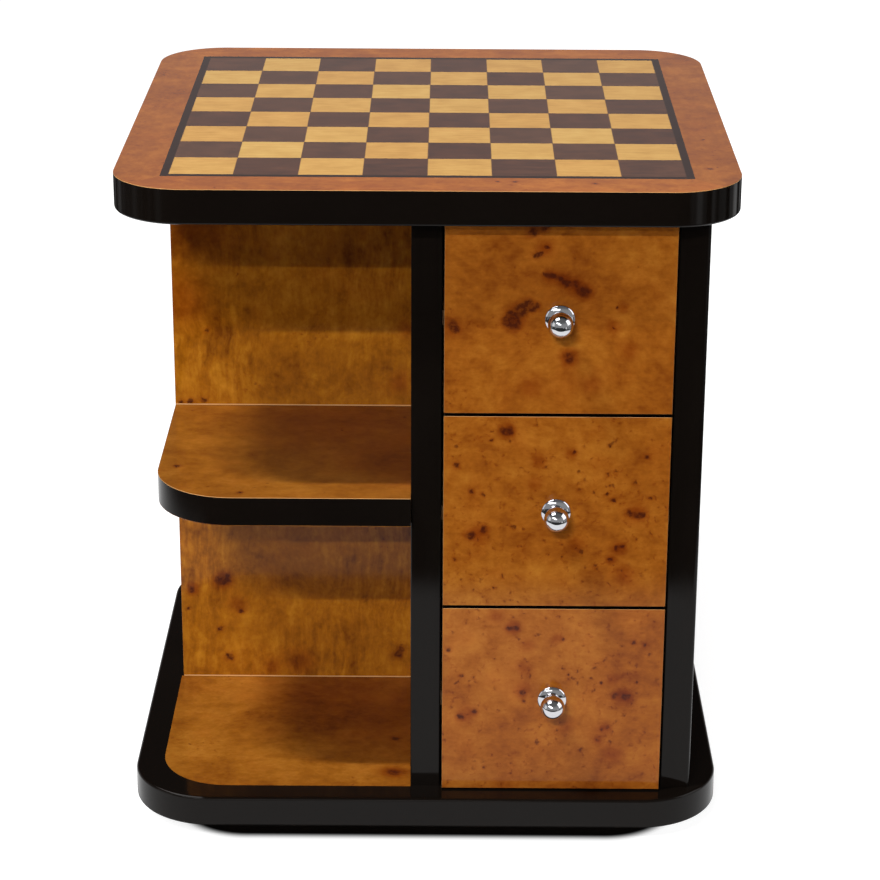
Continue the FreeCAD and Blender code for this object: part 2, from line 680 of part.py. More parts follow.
def drawer_walls(name, low, bottom_slot):
    """Two grooved sides and a back; the runners slide in the grooves, the bottom sits in the slots."""
    box_bottom = f"({low} + drawer_wall_lift)"
    wall_top = f"({box_bottom} + drawer_wall_height)"
    groove_low = f"({low} + runner_lift - runner_height / 2 - fit_gap)"
    sides = {"left": FACE_LEFT, "right": f"({FACE_RIGHT} - drawer_wall)"}
    grooves = {"left": FACE_LEFT, "right": f"({FACE_RIGHT} - runner_groove)"}
    walls = []
    for side, x in sides.items():
        wall = board(
            f"{name}_{side}", "drawer_wall", BOX_DEPTH, "drawer_wall_height", x, BOX_FRONT, box_bottom,
        )
        groove = board(
            f"{name}_{side}_groove", "runner_groove", RUNNER_DEPTH, "(runner_height + 2 * fit_gap)",
            grooves[side], f"({RUNNER_FRONT} - fit_gap)", groove_low,
        )
        cuts = group(f"{name}_{side}_cuts", [groove, bottom_slot])
        walls.append(cut(f"{name}_{side}_grooved", wall, cuts))
    back_low = f"({box_bottom} + bottom_lift + bottom_thickness)"
    walls.append(board(
        f"{name}_back", f"({FACE_WIDTH} - 2 * drawer_wall)", "drawer_wall", f"({wall_top} - {back_low})",
        f"({FACE_LEFT} + drawer_wall)", f"({BOX_FRONT} + {BOX_DEPTH} - drawer_wall)", back_low,
    ))
    return group(f"{name}_walls", walls)


def bottom_panel(name, low, gap=0):
    """The drawer bottom, held in slots of the sides and the face; a gap makes the slots."""
    reach = f"(bottom_groove + {gap})"
    return board(
        name, f"({FACE_WIDTH} - 2 * drawer_wall + 2 * {reach})", f"({BOX_DEPTH} + {reach})",
        f"(bottom_thickness + {gap})", f"({FACE_LEFT} + drawer_wall - {reach})",
        f"({BOX_FRONT} - {reach})", f"({low} + drawer_wall_lift + bottom_lift)",
    )


def knob(name, height):
    """Dome, ball with its neck, and the machine screw that pulls them against the drawer's face."""
    screw_hole = rod(
        f"{name}_hole", "(knob_screw_radius + glue_gap)", "(knob_screw_length + glue_gap)",
        KNOB_X, BOX_FRONT, height, FRONT,
    )
    dome = doc.addObject("Part::Ellipsoid", f"{name}_dome")
    size(dome, Radius1="rosette_height", Radius2="rosette_radius", Radius3="rosette_radius")
    dome.Angle1 = 0
    place(dome, KNOB_X, FACE_FRONT, height, FreeCAD.Rotation(UP, FRONT))
    ball = doc.addObject("Part::Sphere", f"{name}_ball")
    size(ball, Radius="knob_radius")
    place(ball, KNOB_X, f"({FACE_FRONT} - knob_reach)", height)
    seat = "(rosette_height - neck_seat)"
    neck = rod(
        f"{name}_neck", "neck_radius", f"(knob_reach - {seat})",
        KNOB_X, f"({FACE_FRONT} - {seat})", height, FRONT,
    )
    turned_knob = combine("Part::Fuse", f"{name}_turned", ball, neck)
    shank = rod(f"{name}_shank", "knob_screw_radius", "knob_screw_length", KNOB_X, BOX_FRONT, height, FRONT)
    head = rod(f"{name}_head", "knob_screw_head", "knob_screw_head_height", KNOB_X, BOX_FRONT, height, BACK)
    pieces = [
        cut(f"{name}_rosette", dome, group(f"{name}_bores", [screw_hole, neck])),
        cut(f"{name}_bored", turned_knob, screw_hole),
        combine("Part::Fuse", f"{name}_screw", shank, head),
    ]
    return group(name, pieces), screw_hole


def build_drawers():
    """The three front drawers, each with its turned copy at the rear."""
    for level, storey in enumerate(STOREYS):
        low, space = storey_space(level)
        face_bottom = f"({low} + drawer_gap / 2)"
        face_height = f"({space} - drawer_gap)"
        handle, screw_hole = knob(f"{storey}_knob", f"({low} + {space} / 2)")
        slot = bottom_panel(f"{storey}_slot", low, "glue_gap")
        face = board(
            f"{storey}_face_board", FACE_WIDTH, "(face_thickness - veneer)", face_height,
            FACE_LEFT, f"({FACE_FRONT} + veneer)", face_bottom,
        )
        sheet = board(
            f"{storey}_face_sheet", FACE_WIDTH, "veneer", face_height, FACE_LEFT, FACE_FRONT, face_bottom,
        )
        pieces = {
            "face": cut(f"{storey}_face_bored", face, group(f"{storey}_face_cuts", [slot, screw_hole])),
            "veneer": cut(f"{storey}_sheet_bored", sheet, screw_hole),
            "walls": drawer_walls(f"{storey}_drawer", low, slot),
            "bottom": bottom_panel(f"{storey}_bottom_board", low),
            "knob": handle,
        }
        for end, turn in ENDS:
            for part, thing in pieces.items():
                name = f"{end}_{storey}_drawer_{part}"
                node(name, copy(name, thing, turn))


# ------------------------------------------------------------------------------ the whole table

def build():
    make_sheet()
    screw_holes = runner_screws("runner_hole", "glue_gap")
    dowel_holes = dowels("dowel_hole", "glue_gap")
    holes = group("holes", [dowel_holes, base_screws("base_hole", "glue_gap"), screw_holes])
    build_top(holes)
    build_base(holes)
    build_panels(holes)
    build_shelves(holes)
    build_runners(screw_holes)
    build_drawers()
    node("carcass_dowels", dowels("dowel"))
    node("base_screws", base_screws("base_screw"))
    node("runner_screws", runner_screws("runner_screw"))
    doc.recompute()


def check():
    """Stops if an object of the document failed, or a piece has no sound solid."""
    failed = [o.Name for o in doc.Objects if {"Invalid", "Error"} & set(o.State)]
    if failed:
        raise RuntimeError(f"failed objects: {failed}")
    for thing in nodes:
        if thing.Shape.isNull() or not thing.Shape.isValid() or not thing.Shape.Solids:
            raise RuntimeError(f"{thing.Label} has no sound solid")


def write():
    """One STEP file for each piece."""
    os.makedirs("parts", exist_ok=True)
    for thing in nodes:
        thing.Shape.exportStep(f"parts/{thing.Label}.step")
        print(f"{thing.Label}: {len(thing.Shape.Solids)} solids, {thing.Shape.Volume / 1000:.1f} cm3")


build()
check()
write()
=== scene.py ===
"""Dresses the chess table with inlaid board: fine edges, veneers, lacquer, chrome, studio and camera.

Everything is in metres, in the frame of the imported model: X to the right, -Y to the front and Z up from
the floor. The pieces of the rear half have the shapes of the front ones, turned by half a turn.
"""

import math

import bmesh
import bpy
from mathutils import Matrix, Vector


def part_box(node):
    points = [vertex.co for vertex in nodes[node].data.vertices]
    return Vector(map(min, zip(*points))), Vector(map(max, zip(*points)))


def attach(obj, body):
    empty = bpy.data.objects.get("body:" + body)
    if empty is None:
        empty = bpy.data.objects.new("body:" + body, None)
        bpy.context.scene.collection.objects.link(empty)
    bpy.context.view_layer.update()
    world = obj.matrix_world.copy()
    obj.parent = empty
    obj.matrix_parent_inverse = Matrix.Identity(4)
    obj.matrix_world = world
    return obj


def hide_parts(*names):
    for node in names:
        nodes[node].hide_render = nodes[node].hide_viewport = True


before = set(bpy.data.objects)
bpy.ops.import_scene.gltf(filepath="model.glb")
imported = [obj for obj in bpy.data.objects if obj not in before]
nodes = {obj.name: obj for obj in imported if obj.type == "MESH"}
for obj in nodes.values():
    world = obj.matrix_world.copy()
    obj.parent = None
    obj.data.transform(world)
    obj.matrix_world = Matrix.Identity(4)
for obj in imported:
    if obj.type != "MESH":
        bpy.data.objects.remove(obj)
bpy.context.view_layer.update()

MM = 0.001
HALF_TURN = Matrix.Rotation(math.pi, 4, "Z")
ENDS = (("front", False), ("rear", True))  # with whether the pieces there are turned by half a turn

# Round corners in the plan, and the small radii of the arrises
TOP_CORNER = 70 * MM
BASE_CORNER = 82 * MM
SHELF_CORNER = 78 * MM
PLINTH_CORNER = 76 * MM
SLAB_ARRIS = 3 * MM
UPRIGHT_ARRIS = 1.5 * MM
UPRIGHT_CORNER = 4 * MM
SHELF_EDGE_ARRIS = 0.2 * MM
VENEER_ARRIS = 0.45 * MM

# Thicknesses and widths
VENEER = 0.6 * MM
EDGING = 6 * MM  # black strip round slabs and shelves
LIPPING = 10 * MM  # black strip on the free end of an upright
DIVIDER_HALF = 15 * MM
BEAD = 1.2 * MM
BEAD_TOP = 0.9 * BEAD  # its width at the top
BEAD_ROUND = 0.7 * BEAD
BEAD_SETBACK = 0.5 * MM  # from the free end of the wall
BEAD_GAP = 0.2 * MM  # at the divider
SQUARE = 61.5 * MM  # one square of the board

# Knob and its screw. These are in millimetres: distances in front of the drawer's face, and radii.
BALL_CENTRE = 17.5
BALL_RADIUS = 12.3
DOME_RADIUS = 14.8
DOME_RISE = 5.0
NECK_RADIUS = 5.0
COVE = ((4.75, 5.9), (4.95, 5.4), (5.3, 5.1), (5.7, NECK_RADIUS))
DOME_END = 63  # degrees up the dome, where the cove starts
BALL_TIP = 0.8  # degrees off the ball's front, where a small flat closes it
FACE_BACK = -20.0
SCREW_HEAD = ((-2.6, 1.2), (-2.6, 2.4), (-2.3, 3.3), (-1.5, 3.9), (-0.2, 4.0))  # from the face's back
SCREW_SHANK = ((FACE_BACK, 3.8), (FACE_BACK, 2.0), (13.0, 2.0), (14.0, 1.2))

# Steps of the round shapes
ARC_STEPS = 24
ARRIS_STEPS = 6
KNOB_STEPS = 48
SCREW_STEPS = 32
BALL_STEPS = 40
DOME_STEPS = 14
SHARP_EDGE = 40  # degrees, from which an edge is shaded sharp


# ---------------------------------------------------------------- meshes

def rounded(corners, steps=ARC_STEPS, open_ended=False):
    """Points and outward normals along a convex polygon of (x, y, radius) corners, anticlockwise.

    open_ended leaves out the side from the last corner back to the first.
    """
    outline = []
    for index, (x, y, radius) in enumerate(corners):
        here = Vector((x, y))
        arriving = (here - Vector(corners[index - 1][:2])).normalized()
        leaving = (Vector(corners[(index + 1) % len(corners)][:2]) - here).normalized()
        if open_ended and index == 0:
            arriving = leaving
        if open_ended and index == len(corners) - 1:
            leaving = arriving
        first = Vector((arriving.y, -arriving.x))
        last = Vector((leaving.y, -leaving.x))
        if radius == 0:
            outline.append((here, (first + last) / (1 + first.dot(last))))
            continue
        turn = math.atan2(arriving.cross(leaving), arriving.dot(leaving))
        centre = here - arriving * radius * math.tan(turn / 2) - first * radius
        for step in range(steps + 1):
            normal = Matrix.Rotation(turn * step / steps, 2) @ first
            outline.append((centre + normal * radius, normal))
    return outline


def rectangle(left, right, low, high):
    """Points and outward normals of a sharp-cornered rectangle."""
    return rounded([(left, low, 0), (right, low, 0), (right, high, 0), (left, high, 0)])


def softened(arris, steps=ARRIS_STEPS):
    """(inset, drop) pairs that round an arris over, from the side face up to the top face."""
    angles = [math.pi / 2 * step / steps for step in range(steps + 1)]
    return [(arris * (1 - math.cos(angle)), arris * (1 - math.sin(angle))) for angle in angles]


def loft(rings, closed=False):
    """A mesh skinned over rings with equal numbers of points. Open ends are capped."""
    mesh = bmesh.new()
    rows = [[mesh.verts.new(point) for point in ring] for ring in rings]
    following = rows[1:] + rows[:1] if closed else rows[1:]
    for row, other in zip(rows, following):
        for index in range(len(row)):
            after = (index + 1) % len(row)
            mesh.faces.new((row[index], row[after], other[after], other[index]))
    if not closed:
        mesh.faces.new(rows[0][::-1])
        mesh.faces.new(rows[-1])
    bmesh.ops.remove_doubles(mesh, verts=mesh.verts, dist=0.01 * MM)
    bmesh.ops.recalc_face_normals(mesh, faces=mesh.faces)
    return mesh


def edging(path, section):
    """Rings of a section of (outward, height) points carried along a path of points and normals."""
    return [
        [(*(point + normal * outward), height) for (outward, height), _ in section]
        for point, normal in path
    ]


def plate(outline, low, high, upper_arris=0.0, lower_arris=0.0):
    """Rings of a flat plate between two levels, with its arrises softened."""
    lower = softened(lower_arris)[::-1] if lower_arris else [(0, 0)]
    upper = softened(upper_arris) if upper_arris else [(0, 0)]
    levels = [(inset, low + rise) for inset, rise in lower]
    levels += [(inset, high - drop) for inset, drop in upper]
    return [[(*(point - normal * inset), level) for point, normal in outline] for inset, level in levels]


def turning(profile, centre, steps):
    """Rings of a profile of (reach, radius) points in millimetres, turned about a line to the front."""
    angles = [2 * math.pi * step / steps for step in range(steps)]
    return [
        [centre + Vector((radius * math.cos(angle), -reach, radius * math.sin(angle))) * MM
         for angle in angles]
        for reach, radius in profile
    ]


def arc(centre, radius, start, finish, steps):
    """Points along an arc about (centre, 0), from one angle to another in degrees off the forward line."""
    angles = [math.radians(start + (finish - start) * step / steps) for step in range(steps + 1)]
    return [(centre + radius * math.cos(angle), radius * math.sin(angle)) for angle in angles]


def upright(mesh):
    """Turns a plate that was drawn flat so that its top faces the front."""
    for vertex in mesh.verts:
        x, height, depth = vertex.co
        vertex.co = (x, -depth, height)
    bmesh.ops.recalc_face_normals(mesh, faces=mesh.faces)
    return mesh


def linked(name, mesh, material):
    """An object in the scene, made of a bmesh and a material."""
    data = bpy.data.meshes.new(name)
    mesh.to_mesh(data)
    mesh.free()
    data.materials.append(material)
    thing = bpy.data.objects.new(name, data)
    bpy.context.scene.collection.objects.link(thing)
    return thing


def piece(name, mesh, body, slot, material, *replaced, turned=False):
    """Makes a smooth-shaded object of a mesh, hangs it on the body that it rides on and hides the parts that
    it replaces.
    """
    if turned:
        mesh.transform(HALF_TURN)
    thing = linked(name, mesh, material)
    thing.data.shade_smooth()
    thing.data.set_sharp_from_angle(angle=math.radians(SHARP_EDGE))
    thing.modifiers.new("even_normals", "WEIGHTED_NORMAL").keep_sharp = True
    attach(thing, body)
    if replaced:
        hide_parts(*replaced)


# ---------------------------------------------------------------- node trees

def srgb(red, green, blue):
    """A colour from the 0 to 255 values that a screen shows."""
    def linear(value):
        share = value / 255
        return share / 12.92 if share <= 0.04045 else ((share + 0.055) / 1.055) ** 2.4
    return (linear(red), linear(green), linear(blue), 1.0)


def grey(level):
    """A colour without hue, from the share of the light that it gives back."""
    return (level, level, level, 1.0)


WHITE = grey(1.0)


class Tree:
    """A node tree built node by node. Its methods return output sockets."""

    def __init__(self, tree):
        self.nodes = tree.nodes
        self.links = tree.links

    def feed(self, socket, value):
        """Links an output socket to an input, or sets the input to a constant."""
        if isinstance(value, bpy.types.NodeSocket):
            self.links.new(value, socket)
        else:
            socket.default_value = value

    def node(self, kind, sockets, **settings):
        """A new node with its inputs fed and its settings made."""
        made = self.nodes.new("ShaderNode" + kind)
        for name, value in settings.items():
            setattr(made, name, value)
        for key, value in sockets.items():
            self.feed(made.inputs[key], value)
        return made

    def math(self, operation, *values):
        return self.node("Math", dict(enumerate(values)), operation=operation).outputs[0]

    def vector(self, operation, first, second):
        return self.node("VectorMath", {0: first, 1: second}, operation=operation).outputs[0]

    def measure(self, operation, *places):
        """A number measured on vectors, such as their DISTANCE, LENGTH or DOT_PRODUCT."""
        return self.node("VectorMath", dict(enumerate(places)), operation=operation).outputs["Value"]

    def axes(self, place):
        return self.node("SeparateXYZ", {"Vector": place}).outputs

    def noise(self, place, scale, detail=3.0, roughness=0.5, output="Fac"):
        """Soft noise whose scale is how many of its swells fit in a metre."""
        sockets = {"Vector": place, "Scale": scale, "Detail": detail, "Roughness": roughness}
        return self.node("TexNoise", sockets).outputs[output]

    def warp(self, place, scale, reach):
        """Places pushed about by up to reach metres, in swirls whose number in a metre is scale."""
        push = self.vector("SUBTRACT", self.noise(place, scale, 2.0, output="Color"), (0.5, 0.5, 0.5))
        return self.vector("ADD", place, self.vector("MULTIPLY", push, (reach, reach, reach)))

    def drawn(self, place, along, share):
        """Places drawn out along the fibre: share is how short the figure's steps get that way."""
        return self.vector("MULTIPLY", place, [share if axis else 1.0 for axis in along])

    def ease(self, value, start, end, low=0.0, high=1.0):
        """Goes smoothly from low to high while value goes from start to end."""
        sockets = {"Value": value, "From Min": start, "From Max": end, "To Min": low, "To Max": high}
        return self.node("MapRange", sockets, interpolation_type="SMOOTHSTEP").outputs["Result"]

    def weigh(self, start, *figures):
        """start plus every figure's departure from its middle, times its weight."""
        total = start
        for figure, weight in figures:
            total = self.math("MULTIPLY_ADD", self.math("SUBTRACT", figure, 0.5), weight, total)
        return total

    def mix(self, share, first, second):
        """first colour, or second as far as share says."""
        return self.node("Mix", {0: share, 6: first, 7: second}, data_type="RGBA").outputs[2]

    def tint(self, share, colour, by):
        """Multiplies a colour channel by channel, as far as share says."""
        sockets = {0: share, 6: colour, 7: by}
        return self.node("Mix", sockets, data_type="RGBA", blend_type="MULTIPLY").outputs[2]

    def ramp(self, value, *stops):
        """A colour that goes through (position, colour) stops as value rises."""
        made = self.node("ValToRGB", {"Fac": value})
        points = made.color_ramp.elements
        while len(points) < len(stops):
            points.new(0.5)
        for point, (position, shade) in zip(points, stops):
            point.position = position
            point.color = shade
        return made.outputs["Color"]

    def bump(self, height, distance, under=None):
        """A normal bent by heights up to distance metres, on top of the bump that lies under it."""
        sockets = {"Height": height, "Distance": distance, "Strength": 1.0}
        if under is not None:
            sockets["Normal"] = under
        return self.node("Bump", sockets).outputs["Normal"]

    def shader(self, kind, colour, **sockets):
        return self.node(kind, {"Color": colour, **sockets}).outputs[0]

    def mixed(self, share, first, second):
        """first shader, or second as far as share says."""
        return self.node("MixShader", {0: share, 1: first, 2: second}).outputs[0]


class Finish(Tree):
    """The node tree of a material. place is where on the table a point lies, in metres."""

    def __init__(self, name):
        self.material = bpy.data.materials.new(name)
        self.material.use_nodes = True
        super().__init__(self.material.node_tree)
        self.place = self.nodes.new("ShaderNodeTexCoord").outputs["Object"]

    def finish(self, colour, roughness, normal, **constants):
        """Feeds the Principled shader and returns the material."""
        sockets = self.nodes["Principled BSDF"].inputs
        for name, value in {"Base Color": colour, "Roughness": roughness, "Normal": normal}.items():
            self.feed(sockets[name], value)
        for name, value in constants.items():
            sockets[name.replace("_", " ")].default_value = value
        return self.material


# ---------------------------------------------------------------- materials

# Strength of the mirror reflection
LACQUER_SPECULAR = 0.17
VENEER_SPECULAR = 0.19
STRINGING_SPECULAR = 0.11

# Deep, middle and light shades of the veneers, and of the board's two woods
AMBER = srgb(112, 53, 10), srgb(142, 79, 19), srgb(166, 103, 31)
RUSSET = srgb(116, 53, 12), srgb(145, 79, 21), srgb(168, 101, 33)
# The level sheets' shades are paler and bluer than the upright burl: partly the wood's tone, partly a
# painted sheen of reflected light
HONEY_AND_SHEEN = srgb(104, 51, 8), srgb(141, 84, 21), srgb(168, 109, 36)
WALNUT = srgb(109, 56, 5), srgb(153, 91, 14), srgb(186, 122, 28)
TAN = srgb(146, 76, 24), srgb(163, 90, 27), srgb(182, 107, 36)
DEEP_TAN = srgb(133, 68, 21), srgb(150, 82, 24), srgb(168, 98, 33)
GOLD = srgb(182, 133, 60), srgb(205, 157, 79), srgb(220, 176, 97)
ROSEWOOD = srgb(48, 25, 17), srgb(75, 43, 28), srgb(98, 61, 42)

EYE = srgb(60, 22, 10)
# A veneer's cut edge: partly the edge's own paler colour, partly a painted highlight along the arris
PALE_EDGE_AND_HIGHLIGHT = srgb(206, 158, 104)
JOINT_LINE = srgb(84, 52, 32)
PORE = srgb(120, 78, 48)

# Factors that shade a colour, channel by channel
BLUSH = (0.97, 0.82, 0.8, 1.0)
FLECK = (1.22, 1.3, 1.6, 1.0)
HALO = (0.74, 0.52, 0.5, 1.0)
SMEAR = (0.7, 0.48, 0.4, 1.0)
# Painted shade: tints burl darker and redder where the slab or a shelf shades it
PAINTED_SHADE = (0.6, 0.38, 0.25, 1.0)
REDDER = (1.06, 0.97, 0.93, 1.0)
PALER = (0.95, 1.03, 1.08, 1.0)
BREATH = (0.93, 0.93, 0.94, 1.0)

ALONG_X = (1, 0, 0)
ALONG_Y = (0, 1, 0)
ALONG_Z = (0, 0, 1)


def polish(look):
    """Bump of a sprayed gloss: broad waves under a fine orange peel."""
    waves = look.bump(look.noise(look.place, 22.0, 1.0), 0.05 * MM)
    return look.bump(look.noise(look.place, 420.0, 1.0), 0.0015 * MM, waves)


def lacquer(name, dark, light, gloss, specular=LACQUER_SPECULAR):
    """Black sprayed lacquer with faint cloudiness and upright wipe marks."""
    look = Finish(name)
    clouds = look.noise(look.place, 9.0, 4.0)
    marks = look.noise(look.vector("MULTIPLY", look.place, (60.0, 60.0, 9.0)), 1.0, 3.0)
    roughness = look.ease(marks, 0.35, 0.75, gloss, gloss + 0.05)
    return look.finish(look.mix(clouds, dark, light), roughness, polish(look), Specular_IOR_Level=specular)


def nearness(look, place, marks, melt=0.0):
    """How far off the closest mark is, as a share of its radius. marks are (place, radius) in metres.

    melt is how readily marks beside each other run together into one.
    """
    nearest = None
    for centre, radius in marks:
        share = look.math("DIVIDE", look.measure("DISTANCE", place, centre), radius)
        nearest = share if nearest is None else look.math("SMOOTH_MIN", nearest, share, melt)
    return nearest


def burl_figure(look, seeded, swirled, along, cloud, curl, streak):
    """Lightness of burl about 0.5, from broad clouds down to fine threads, and the threads alone."""
    clouds = look.noise(swirled, 12.0, 5.0, 0.62)
    patches = look.noise(look.warp(seeded, 26.0, 16 * MM), 34.0, 2.0, 0.5)
    mottle = look.noise(look.drawn(swirled, along, 0.8), 75.0, 4.0, 0.62)
    ripple = look.noise(look.drawn(swirled, along, 0.7), 260.0, 2.0, 0.6)
    thread = look.noise(look.drawn(seeded, along, 0.06), 900.0, 2.0, 0.6)
    figures = (
        (clouds, cloud),
        (patches, 0.7 * curl),
        (mottle, 0.9 * curl),
        (ripple, 0.45 * curl),
        (thread, 0.06),
    )
    shade = look.weigh(0.5, *figures)
    if streak:
        bent = look.warp(look.warp(seeded, 11.0, 26 * MM), 55.0, 5 * MM)
        flames = look.noise(look.drawn(bent, along, 0.15), 165.0, 3.0, 0.55)
        strength = look.ease(look.noise(seeded, 9.0, 1.0), 0.36, 0.6, 0.25, 1.0)
        flames = look.math("MULTIPLY", look.math("SUBTRACT", flames, 0.5), strength)
        shade = look.math("ADD", shade, look.math("MULTIPLY", flames, streak))
    return shade, thread


def burl_marks(look, colour, seeded, eyes, smears, painted_shade, pips):
    """The colour with small eyes strewn over it, eyes and smears at known places, and painted shade at known
    places where the table's own parts shade the sheet.
    """
    freckles = look.noise(look.warp(seeded, 90.0, 7 * MM), 170.0, 2.0, 0.45)
    crowd = look.ease(look.noise(seeded, 19.0, 2.0), 0.6 - 0.3 * pips, 0.75 - 0.3 * pips)
    pip = look.math("MULTIPLY", look.ease(freckles, 0.66, 0.78, 0.0, 0.7), crowd)
    halo = look.math("MULTIPLY", look.ease(freckles, 0.57, 0.68, 0.0, 0.6), crowd)
    if eyes:
        ragged = look.warp(look.warp(look.place, 75.0, 8 * MM), 300.0, 3 * MM)
        apart = nearness(look, ragged, eyes, melt=2.4)
        grainy = look.ease(look.noise(look.place, 190.0, 3.0, 0.6), 0.36, 0.56, 0.5, 1.0)
        pip = look.math("MAXIMUM", pip, look.math("MULTIPLY", look.ease(apart, 1.4, 0.5), grainy))
        halo = look.math("MAXIMUM", halo, look.ease(apart, 2.6, 0.8, 0.0, 0.9))
    colour = look.tint(look.math("MULTIPLY", halo, 0.8), colour, HALO)
    if smears:
        apart = nearness(look, look.warp(look.place, 60.0, 9 * MM), smears)
        colour = look.tint(look.ease(apart, 1.5, 0.2, 0.0, 0.8), colour, SMEAR)
    # Painted shade: broad darkening where the table's own parts shade the sheet
    if painted_shade:
        apart = nearness(look, look.warp(look.place, 14.0, 30 * MM), painted_shade)
        colour = look.tint(look.ease(apart, 1.3, 0.2, 0.0, 0.9), colour, PAINTED_SHADE)
    return look.mix(look.math("MULTIPLY", pip, 0.9), colour, EYE)


def burl(name, seed, along, tones, face, eyes=(), smears=(), painted_shade=(),
         pips=0.5, cloud=1.2, curl=0.5, streak=0.0, pale=0.0):
    """Lacquered burl veneer.

    seed picks the leaf, along is the way the fibre runs and tones the deep, middle and light shades.
    face is the way the sheet faces and how far out its face lies, or None; below the face its edges are
    paler, partly the cut edge's own colour and partly a painted highlight along the arris. eyes are dark
    marks and smears are blurred ones; the broad dark parts at known places are painted shade where the
    table's own parts shade the sheet; all are (place, radius) in metres. pips is how freely small eyes are
    strewn, cloud and curl the strength of the broad and the fine figure, streak that of flames along the
    fibre, and pale that of light flecks.
    """
    look = Finish(name)
    seeded = look.vector("ADD", look.place, (seed * 3.7, seed * 1.9, seed * 5.3))
    swirled = look.warp(look.warp(seeded, 8.0, 30 * MM), 40.0, 6 * MM)
    shade, thread = burl_figure(look, seeded, swirled, along, cloud, curl, streak)
    deep, middle, light = tones
    colour = look.ramp(shade, (0.14, deep), (0.5, middle), (0.86, light))
    blush = look.ease(look.noise(look.warp(seeded, 30.0, 12 * MM), 24.0, 3.0), 0.5, 0.72, 0.0, 0.4)
    colour = look.tint(blush, colour, BLUSH)
    if pale:
        flecks = look.noise(swirled, 125.0, 2.0)
        colour = look.tint(look.ease(flecks, 0.6, 0.72, 0.0, pale), colour, FLECK)
    colour = burl_marks(look, colour, seeded, eyes, smears, painted_shade, pips)
    # Paler edges below the face: the cut edge's own colour, partly a painted highlight on the arris
    if face:
        outward, level = face
        depth = look.measure("DOT_PRODUCT", look.place, outward)
        edge = look.ease(depth, level - 0.04 * MM, level - 0.2 * MM, 0.0, 0.8)
        colour = look.mix(edge, colour, PALE_EDGE_AND_HIGHLIGHT)
    roughness = look.ease(thread, 0.2, 0.8, 0.08, 0.13)
    return look.finish(colour, roughness, polish(look), Specular_IOR_Level=VENEER_SPECULAR)


def board_wood(name, tones, streak, patchy, motley):
    """Flush squares of the board: grain along X and fine joint lines.

    streak is the strength of the grain, patchy that of soft clouds, and motley how much the squares
    differ in hue.
    """
    look = Finish(name)
    cell = look.vector("MULTIPLY", look.place, (1 / SQUARE, 1 / SQUARE, 0.0))
    number = look.vector("FLOOR", cell, (0.0, 0.0, 0.0))
    own = look.node("TexWhiteNoise", {"Vector": number}).outputs
    leaf = look.vector("ADD", look.place, own["Color"])
    grained = look.drawn(look.warp(leaf, 30.0, 4 * MM), ALONG_X, 0.09)
    streaks = look.noise(grained, 330.0, 3.0, 0.65)
    threads = look.noise(grained, 1500.0, 2.0, 0.6)
    clouds = look.noise(leaf, 38.0, 3.0)
    figures = (own["Value"], 0.22), (streaks, streak), (threads, streak * 0.5), (clouds, patchy)
    deep, middle, light = tones
    colour = look.ramp(look.weigh(0.5, *figures), (0.1, deep), (0.5, middle), (0.9, light))
    hue = look.mix(look.node("SeparateColor", {"Color": own["Color"]}).outputs[0], REDDER, PALER)
    colour = look.tint(motley, colour, hue)

    within = look.vector("SUBTRACT", look.vector("FRACTION", cell, (0.0, 0.0, 0.0)), (0.5, 0.5, 0.0))
    off_centre = look.axes(look.vector("ABSOLUTE", within, (0.0, 0.0, 0.0)))
    reach = look.math("MAXIMUM", off_centre[0], off_centre[1])
    joint = look.ease(reach, 0.5 - 0.75 * MM / SQUARE, 0.5 - 0.25 * MM / SQUARE)
    colour = look.mix(look.math("MULTIPLY", joint, 0.6), colour, JOINT_LINE)
    roughness = look.ease(threads, 0.2, 0.8, 0.07, 0.12)
    return look.finish(colour, roughness, polish(look), Specular_IOR_Level=VENEER_SPECULAR)


def plain_wood(name, deep, light, along, flecks, gloss):
    """Bare or thinly sealed wood: growth bands, threads and short dark flecks along the grain."""
    look = Finish(name)
    grained = look.drawn(look.warp(look.place, 6.0, 12 * MM), along, 0.06)
    bands = look.noise(grained, 70.0, 3.0, 0.55)
    threads = look.noise(grained, 700.0, 2.0, 0.6)
    shade = look.weigh(0.5, (bands, 1.3), (threads, 0.6))
    colour = look.ramp(shade, (0.2, deep), (0.8, light))
    pores = look.noise(look.drawn(look.place, along, 0.22), 900.0, 1.0)
    colour = look.mix(look.ease(pores, 0.66, 0.76, 0.0, flecks), colour, PORE)
    roughness = look.ease(threads, 0.2, 0.8, gloss, gloss + 0.15)
    return look.finish(colour, roughness, look.bump(threads, 0.03 * MM))


def particle_board(name):
    """Pressed board of small chips, as it shows in cut edges and under the base."""
    look = Finish(name)
    chips = look.node("TexVoronoi", {"Vector": look.place, "Scale": 520.0})
    chip = look.node("SeparateColor", {"Color": chips.outputs["Color"]}).outputs[0]
    colour = look.ramp(chip, (0.0, srgb(120, 92, 62)), (0.6, srgb(160, 128, 90)), (1.0, srgb(190, 160, 120)))
    return look.finish(colour, 0.75, look.bump(chips.outputs["Distance"], 0.05 * MM))


def metal(name, shade, gloss, scratches):
    """Plated or turned metal with fine turning marks and a little uneven polish."""
    look = Finish(name)
    marks = look.noise(look.vector("MULTIPLY", look.place, (1.0, 9.0, 1.0)), 900.0, 2.0)
    breath = look.noise(look.place, 120.0, 2.0)
    roughness = look.ease(breath, 0.3, 0.7, gloss, gloss * 1.8)
    colour = look.tint(breath, shade, BREATH)
    return look.finish(colour, roughness, look.bump(marks, scratches), Metallic=1.0)


def plastic(name):
    """Dark moulded plastic with a fine grain."""
    look = Finish(name)
    grain = look.noise(look.place, 1500.0, 1.0)
    colour = look.mix(look.noise(look.place, 60.0), srgb(52, 52, 54), srgb(64, 64, 66))
    return look.finish(colour, look.ease(grain, 0.3, 0.7, 0.42, 0.55), look.bump(grain, 0.01 * MM))


